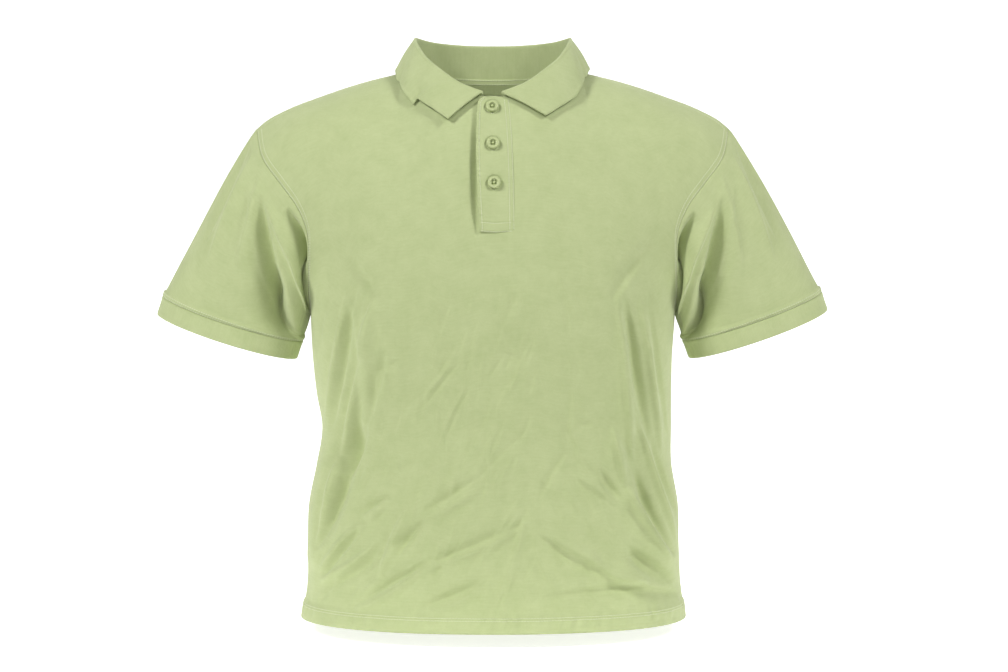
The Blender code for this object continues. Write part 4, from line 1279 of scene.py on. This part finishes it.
def make_collar(rib, tape_finish, thread):
    """The collar's fine face, rolled at the edges of its leaves, and the tape inside its foot."""
    end = 180 - (SLOT_HALF / NECK_SHARE) ** NECK_SPREAD * 90
    angle = np.sort(np.concatenate([np.linspace(-end, end, COLLAR_COLUMNS), LEAF_POINTS]))
    behind = np.abs(angle) <= 90
    from_middle = np.where(behind, np.abs(angle), 180 - np.abs(angle))
    u = np.sign(angle) * (NECK_SHARE * (from_middle / 90) ** (1 / NECK_SPREAD))
    seat = np.where(behind[:, None], top_edge(BACK, u), top_edge(FRONT, u))
    face = collar(angle, seat, COLLAR_ROWS)
    normals = grid_normals(face)
    away = distances(face)
    high, ends = away["high"], np.minimum(away["first"], away["last"])
    roll = COLLAR_ROLL * rolled_edge(high) + COLLAR_ROLL * COLLAR_END_ROLL * rolled_edge(ends)
    on_leaf = ramp(np.arange(len(face)) - sum(COLLAR_ROWS[:2]), LEAF_START_ROWS)[:, None]
    wave = COLLAR_WAVE * np.sin(np.radians(angle) * 5.3 + 0.8)[None, :]
    wave = wave * on_leaf * dip(high, 0.012, 0.02)
    face = face + normals * (roll * on_leaf + wave)[..., None]
    leaf = shell("collar_rib", face, normals, COLLAR_SHELL)
    dressed(leaf, rib, "rib_cloth", "collar")

    taped = np.abs(angle) < TAPE_END_ANGLE
    low, high = face[0, taped], face[COLLAR_ROWS[0] // 3, taped]
    share = np.linspace(TAPE_START, TAPE_SHARE, TAPE_ROWS)[:, None, None]
    out = unit(normals[1, taped])
    tape = low + (high - low) * share
    tape = tape + out * (TAPE + 2 * SEAM_GAP - TAPE_LEAN * np.clip(-share, 0, 1))
    strip = shell("neck_tape_cloth", tape, np.broadcast_to(out, tape.shape), TAPE_SHELL)
    dressed(strip, tape_finish, "tape", "neck_tape")
    lines = [(tape[row] + out * 0.00005, out) for row in TAPE_STITCH_ROWS]
    sewing = stitches("neck_tape_stitches", lines, thread, "tape")


def strip_places(rows, across):
    """The top strip's (u, v) places. Its upper corner on the wearer's right is rounded."""
    heights = list(np.linspace(STRIP_Z, STRIP_TOP_Z - STRIP_CORNER, rows))
    corners = [0.0] * len(heights)
    for turn in np.radians(np.linspace(6, 90, 15)):
        heights.append(STRIP_TOP_Z - STRIP_CORNER * (1 - math.sin(turn)))
        corners.append(STRIP_CORNER * (1 - math.cos(turn)))
    share = np.linspace(0, 1, across)
    edges = panel(FRONT, np.array([STRIP_RIGHT, STRIP_LEFT]), np.array([0.8, 0.8]))
    share_of_metre = (STRIP_LEFT - STRIP_RIGHT) / (edges[1, 0] - edges[0, 0])
    start = STRIP_RIGHT + np.array(corners)[:, None] * share_of_metre
    u = start + (STRIP_LEFT - start) * share
    v = np.broadcast_to(row_of_height(heights)[:, None], u.shape)
    return u, v


def make_placket(finish, thread):
    slot = np.linspace(-SLOT_HALF, SLOT_HALF, UNDER_CELLS[1])
    u, v = np.meshgrid(slot, np.linspace(row_of_height(SLOT_Z), 1, UNDER_CELLS[0]))
    under = shell("placket_under_cloth", *draped(FRONT, u, v), SHELL_CLOTH)
    dressed(under, finish, "body_cloth", "placket_under")

    u, v = strip_places(*STRIP_CELLS)
    points, normals = draped(FRONT, u, v)
    away = distances(points)
    first, last, low = away["first"], away["last"], away["low"]
    share = last / (first + last)
    relief = STRIP_SEWN_LIFT + (STRIP_OPEN_LIFT - STRIP_SEWN_LIFT) * share**1.4
    relief *= np.clip(low / 0.03, 0.5, 1)
    relief -= STRIP_EDGE_GROOVE * dip(np.minimum(last, low), 0, SEAM_WIDTH)
    for edge, rows in STRIP_STITCHES.items():
        for row in rows:
            groove = BOX_GROOVE if row == BOX_HEIGHT else STITCH_GROOVE
            relief -= groove * dip(away[edge], row, STITCH_WIDTH)
    relief += 2 * PUCKER * pucker(low, PUCKER_PERIOD, 0.9) * dip(first, 0.001, 0.003)
    for z in BUTTON_Z:
        place = draped(FRONT, np.zeros(1), row_of_height([z]))[0][0]
        gap = np.linalg.norm(points - place, axis=-1)
        relief -= BUTTON_SINK * dip(gap, BUTTON_RADIUS + 0.0003, 0.0014)
    points = points + normals * relief[..., None]
    strip = shell("placket_top_cloth", points, normals, SHELL_CLOTH)
    dressed(strip, finish, "body_cloth", "placket_top")

    rows, across = u.shape
    lines = []
    for edge, sewn in STRIP_STITCHES.items():
        chosen = range(1, across - 1) if edge == "low" else range(2, rows - 1)
        lines += [line_inside(points, normals, edge, distance, chosen) for distance in sewn]
    reach = BUTTONHOLE_HALF / np.mean(np.diff(low[:, 0]))
    for z in BUTTON_Z:
        row = int(np.argmin(np.abs(points[:, across // 2, 2] - z)))
        rows_at = np.linspace(row - reach, row + reach, BUTTONHOLE_PLACES)
        rows_at = np.clip(rows_at, 0, rows - 1)
        middle = np.interp(0, u[row], np.arange(across))
        for aside in (-BUTTONHOLE_HALF_WIDTH, BUTTONHOLE_HALF_WIDTH):
            column = middle + aside / np.mean(np.diff(first[row]))
            lines.append(line_at(points, normals, rows_at, np.full(len(rows_at), column)))
    sewing = stitches("placket_stitches", lines, thread, "body_cloth")


def button_height(radius, angle):
    """How high a button's face is above its back: a broad rim, and a ring-shaped dish with four
    holes round a boss."""
    past = ramp(radius - BUTTON_RADIUS + BUTTON_EDGE, BUTTON_EDGE)
    rim = BUTTON_THICKNESS - BUTTON_EDGE * past**3
    swell = RIM_SWELL * dip(radius, BUTTON_RADIUS - 0.0020, 0.0016)
    dish = step_down(radius, DISH_RADIUS, 0.00010) - 0.9 * step_down(radius, BOSS_RADIUS, 0.00010)
    height = rim + swell - DISH_DEPTH * dish
    x, y = radius * np.cos(angle), radius * np.sin(angle)
    for hole in HOLE_ANGLES:
        gap = np.hypot(x - HOLE_PITCH * math.cos(hole), y - HOLE_PITCH * math.sin(hole))
        height = height - HOLE_DEPTH * step_down(gap, HOLE_RADIUS, 0.00006)
    return height


def make_buttons(plastic, thread):
    """Dished buttons with four holes, and the thread that makes a square between the holes."""
    angles = np.arange(BUTTON_SIDES) * 2 * math.pi / BUTTON_SIDES
    radius, angle = np.meshgrid(BUTTON_RINGS, angles, indexing="ij")
    x, y = radius * np.cos(angle), radius * np.sin(angle)
    height = np.concatenate([button_height(radius, angle), np.zeros((2, BUTTON_SIDES))])
    x, y = (np.concatenate([way, way[-1:], way[:1]]) for way in (x, y))
    faces = cells_of(*x.shape, True)[:, [0, 3, 2, 1]]
    share = np.linspace(0, 1, BAR_RINGS)[:, None]
    level = BUTTON_THICKNESS - DISH_DEPTH + BAR_LIFT + BAR_ARCH * (1 - (2 * share - 1) ** 4)
    for number, z in enumerate(BUTTON_Z, 1):
        points, normals = draped(FRONT, np.zeros(1), row_of_height([z]))
        out = normals[0]
        back = points[0] + out * (STRIP_LIFT + CLOTH + BUTTON_LIFT)
        aside = unit(np.cross(np.array([0, 0, 1.0]), out))
        up = np.cross(out, aside)
        spread = aside * x[..., None] + up * y[..., None]
        places = back + spread + out * height[..., None]
        button = piece(f"button_{number}_plastic", places.reshape(-1, 3), faces)
        dressed(button, plastic, "button", f"button_{number}")
        holes = [HOLE_PITCH * (aside * math.cos(a) + up * math.sin(a)) for a in HOLE_ANGLES]
        rings = []
        for start, end in zip(holes, holes[1:] + holes[:1]):
            line = back + start + (end - start) * share + out * level
            along = unit(np.gradient(line, axis=0))
            beside = unit(np.cross(out, along))
            rings.append(thread_rings(line, beside, np.cross(along, beside), BAR_RADIUS, BAR_SIDES))
        threads(f"button_{number}_thread", rings, thread, "button")


# ---------------------------------------------------------------- room, light and camera


def floor_finish():
    """White, with a painted glow of its own that begins where the camera starts to see it. The glow
    keeps the floor and wall white and makes the shadow under the hem pale.
    """
    nodes = Nodes("floor", FLOOR_COLOUR, 0.9, specular=0.1)
    # painted glow: the floor's own emission, not light that falls on it
    nodes.shader.inputs["Emission Color"].default_value = (1, 1, 1, 1)
    y = nodes.add("ShaderNodeSeparateXYZ", Vector=nodes.place())[1]
    start, full = FLOOR_GLOW_FROM
    share = nodes.math("MULTIPLY_ADD", y, 1 / (full - start), -start / (full - start), clamp=True)
    glow = nodes.math("MULTIPLY", share, FLOOR_GLOW)
    nodes.tree.links.new(glow, nodes.shader.inputs["Emission Strength"])
    return nodes.material


def make_room():
    """A pale floor that curves up into a pale wall behind."""
    profile = [(FLOOR_FRONT, FLOOR_Z), (FLOOR_BACK, FLOOR_Z)]
    for turn in np.radians(np.arange(0, 91, 6)):
        away, up = ROOM_CURVE * math.sin(turn), ROOM_CURVE * (1 - math.cos(turn))
        profile.append((FLOOR_BACK + away, FLOOR_Z + up))
    profile.append((FLOOR_BACK + ROOM_CURVE, WALL_TOP))
    points = [(x, y, z) for y, z in profile for x in (-ROOM_HALF_WIDTH, ROOM_HALF_WIDTH)]
    faces = [(2 * n, 2 * n + 1, 2 * n + 3, 2 * n + 2) for n in range(len(profile) - 1)]
    floor = piece("floor", points, np.array(faces))
    floor.data.materials.append(floor_finish())


def make_light(name, place, aim, size, power):
    light = bpy.data.lights.new(name, "AREA")
    light.shape = "RECTANGLE"
    light.size, light.size_y = size
    light.energy = power
    lamp = bpy.data.objects.new(name, light)
    lamp.location = place
    lamp.rotation_euler = (Vector(aim) - Vector(place)).to_track_quat("-Z", "Y").to_euler()
    bpy.context.scene.collection.objects.link(lamp)


def make_lights():
    for name, place, aim, size, power in LIGHTS:
        make_light(name, place, aim, size, power)
    world = bpy.data.worlds.new("studio")
    bpy.context.scene.world = world
    world.use_nodes = True
    background = world.node_tree.nodes["Background"]
    background.inputs["Color"].default_value = (1, 1, 1, 1)
    background.inputs["Strength"].default_value = WORLD_STRENGTH


def make_camera():
    camera = bpy.data.objects.new("camera", bpy.data.cameras.new("camera"))
    camera.data.sensor_width = SENSOR
    camera.data.lens = SENSOR * CAMERA_DISTANCE / (PHOTO_WIDTH * METRES_PER_PIXEL)
    camera.location = (CAMERA_X, -CAMERA_DISTANCE, CAMERA_Z)
    camera.rotation_euler = (math.pi / 2, 0, 0)
    bpy.context.scene.collection.objects.link(camera)
    bpy.context.scene.camera = camera
    bpy.context.scene.view_settings.view_transform = "Standard"


def main():
    pique = cloth_finish("pique_knit", "pique", 0.00025)
    rib = cloth_finish("rib_knit", "rib", 0.00025)
    tape = cloth_finish("tape_weave", "tape", 0.00015)
    thread = thread_finish("thread", THREAD_COLOUR)
    button_thread = thread_finish("button_thread", BUTTON_THREAD_COLOUR)
    plastic = button_finish()
    make_body(pique, thread)
    for side, name in ((RIGHT, "right"), (LEFT, "left")):
        make_sleeve(side, name, pique, rib, thread)
    make_collar(rib, tape, thread)
    make_placket(pique, thread)
    make_buttons(plastic, button_thread)
    make_room()
    make_lights()
    make_camera()


main()
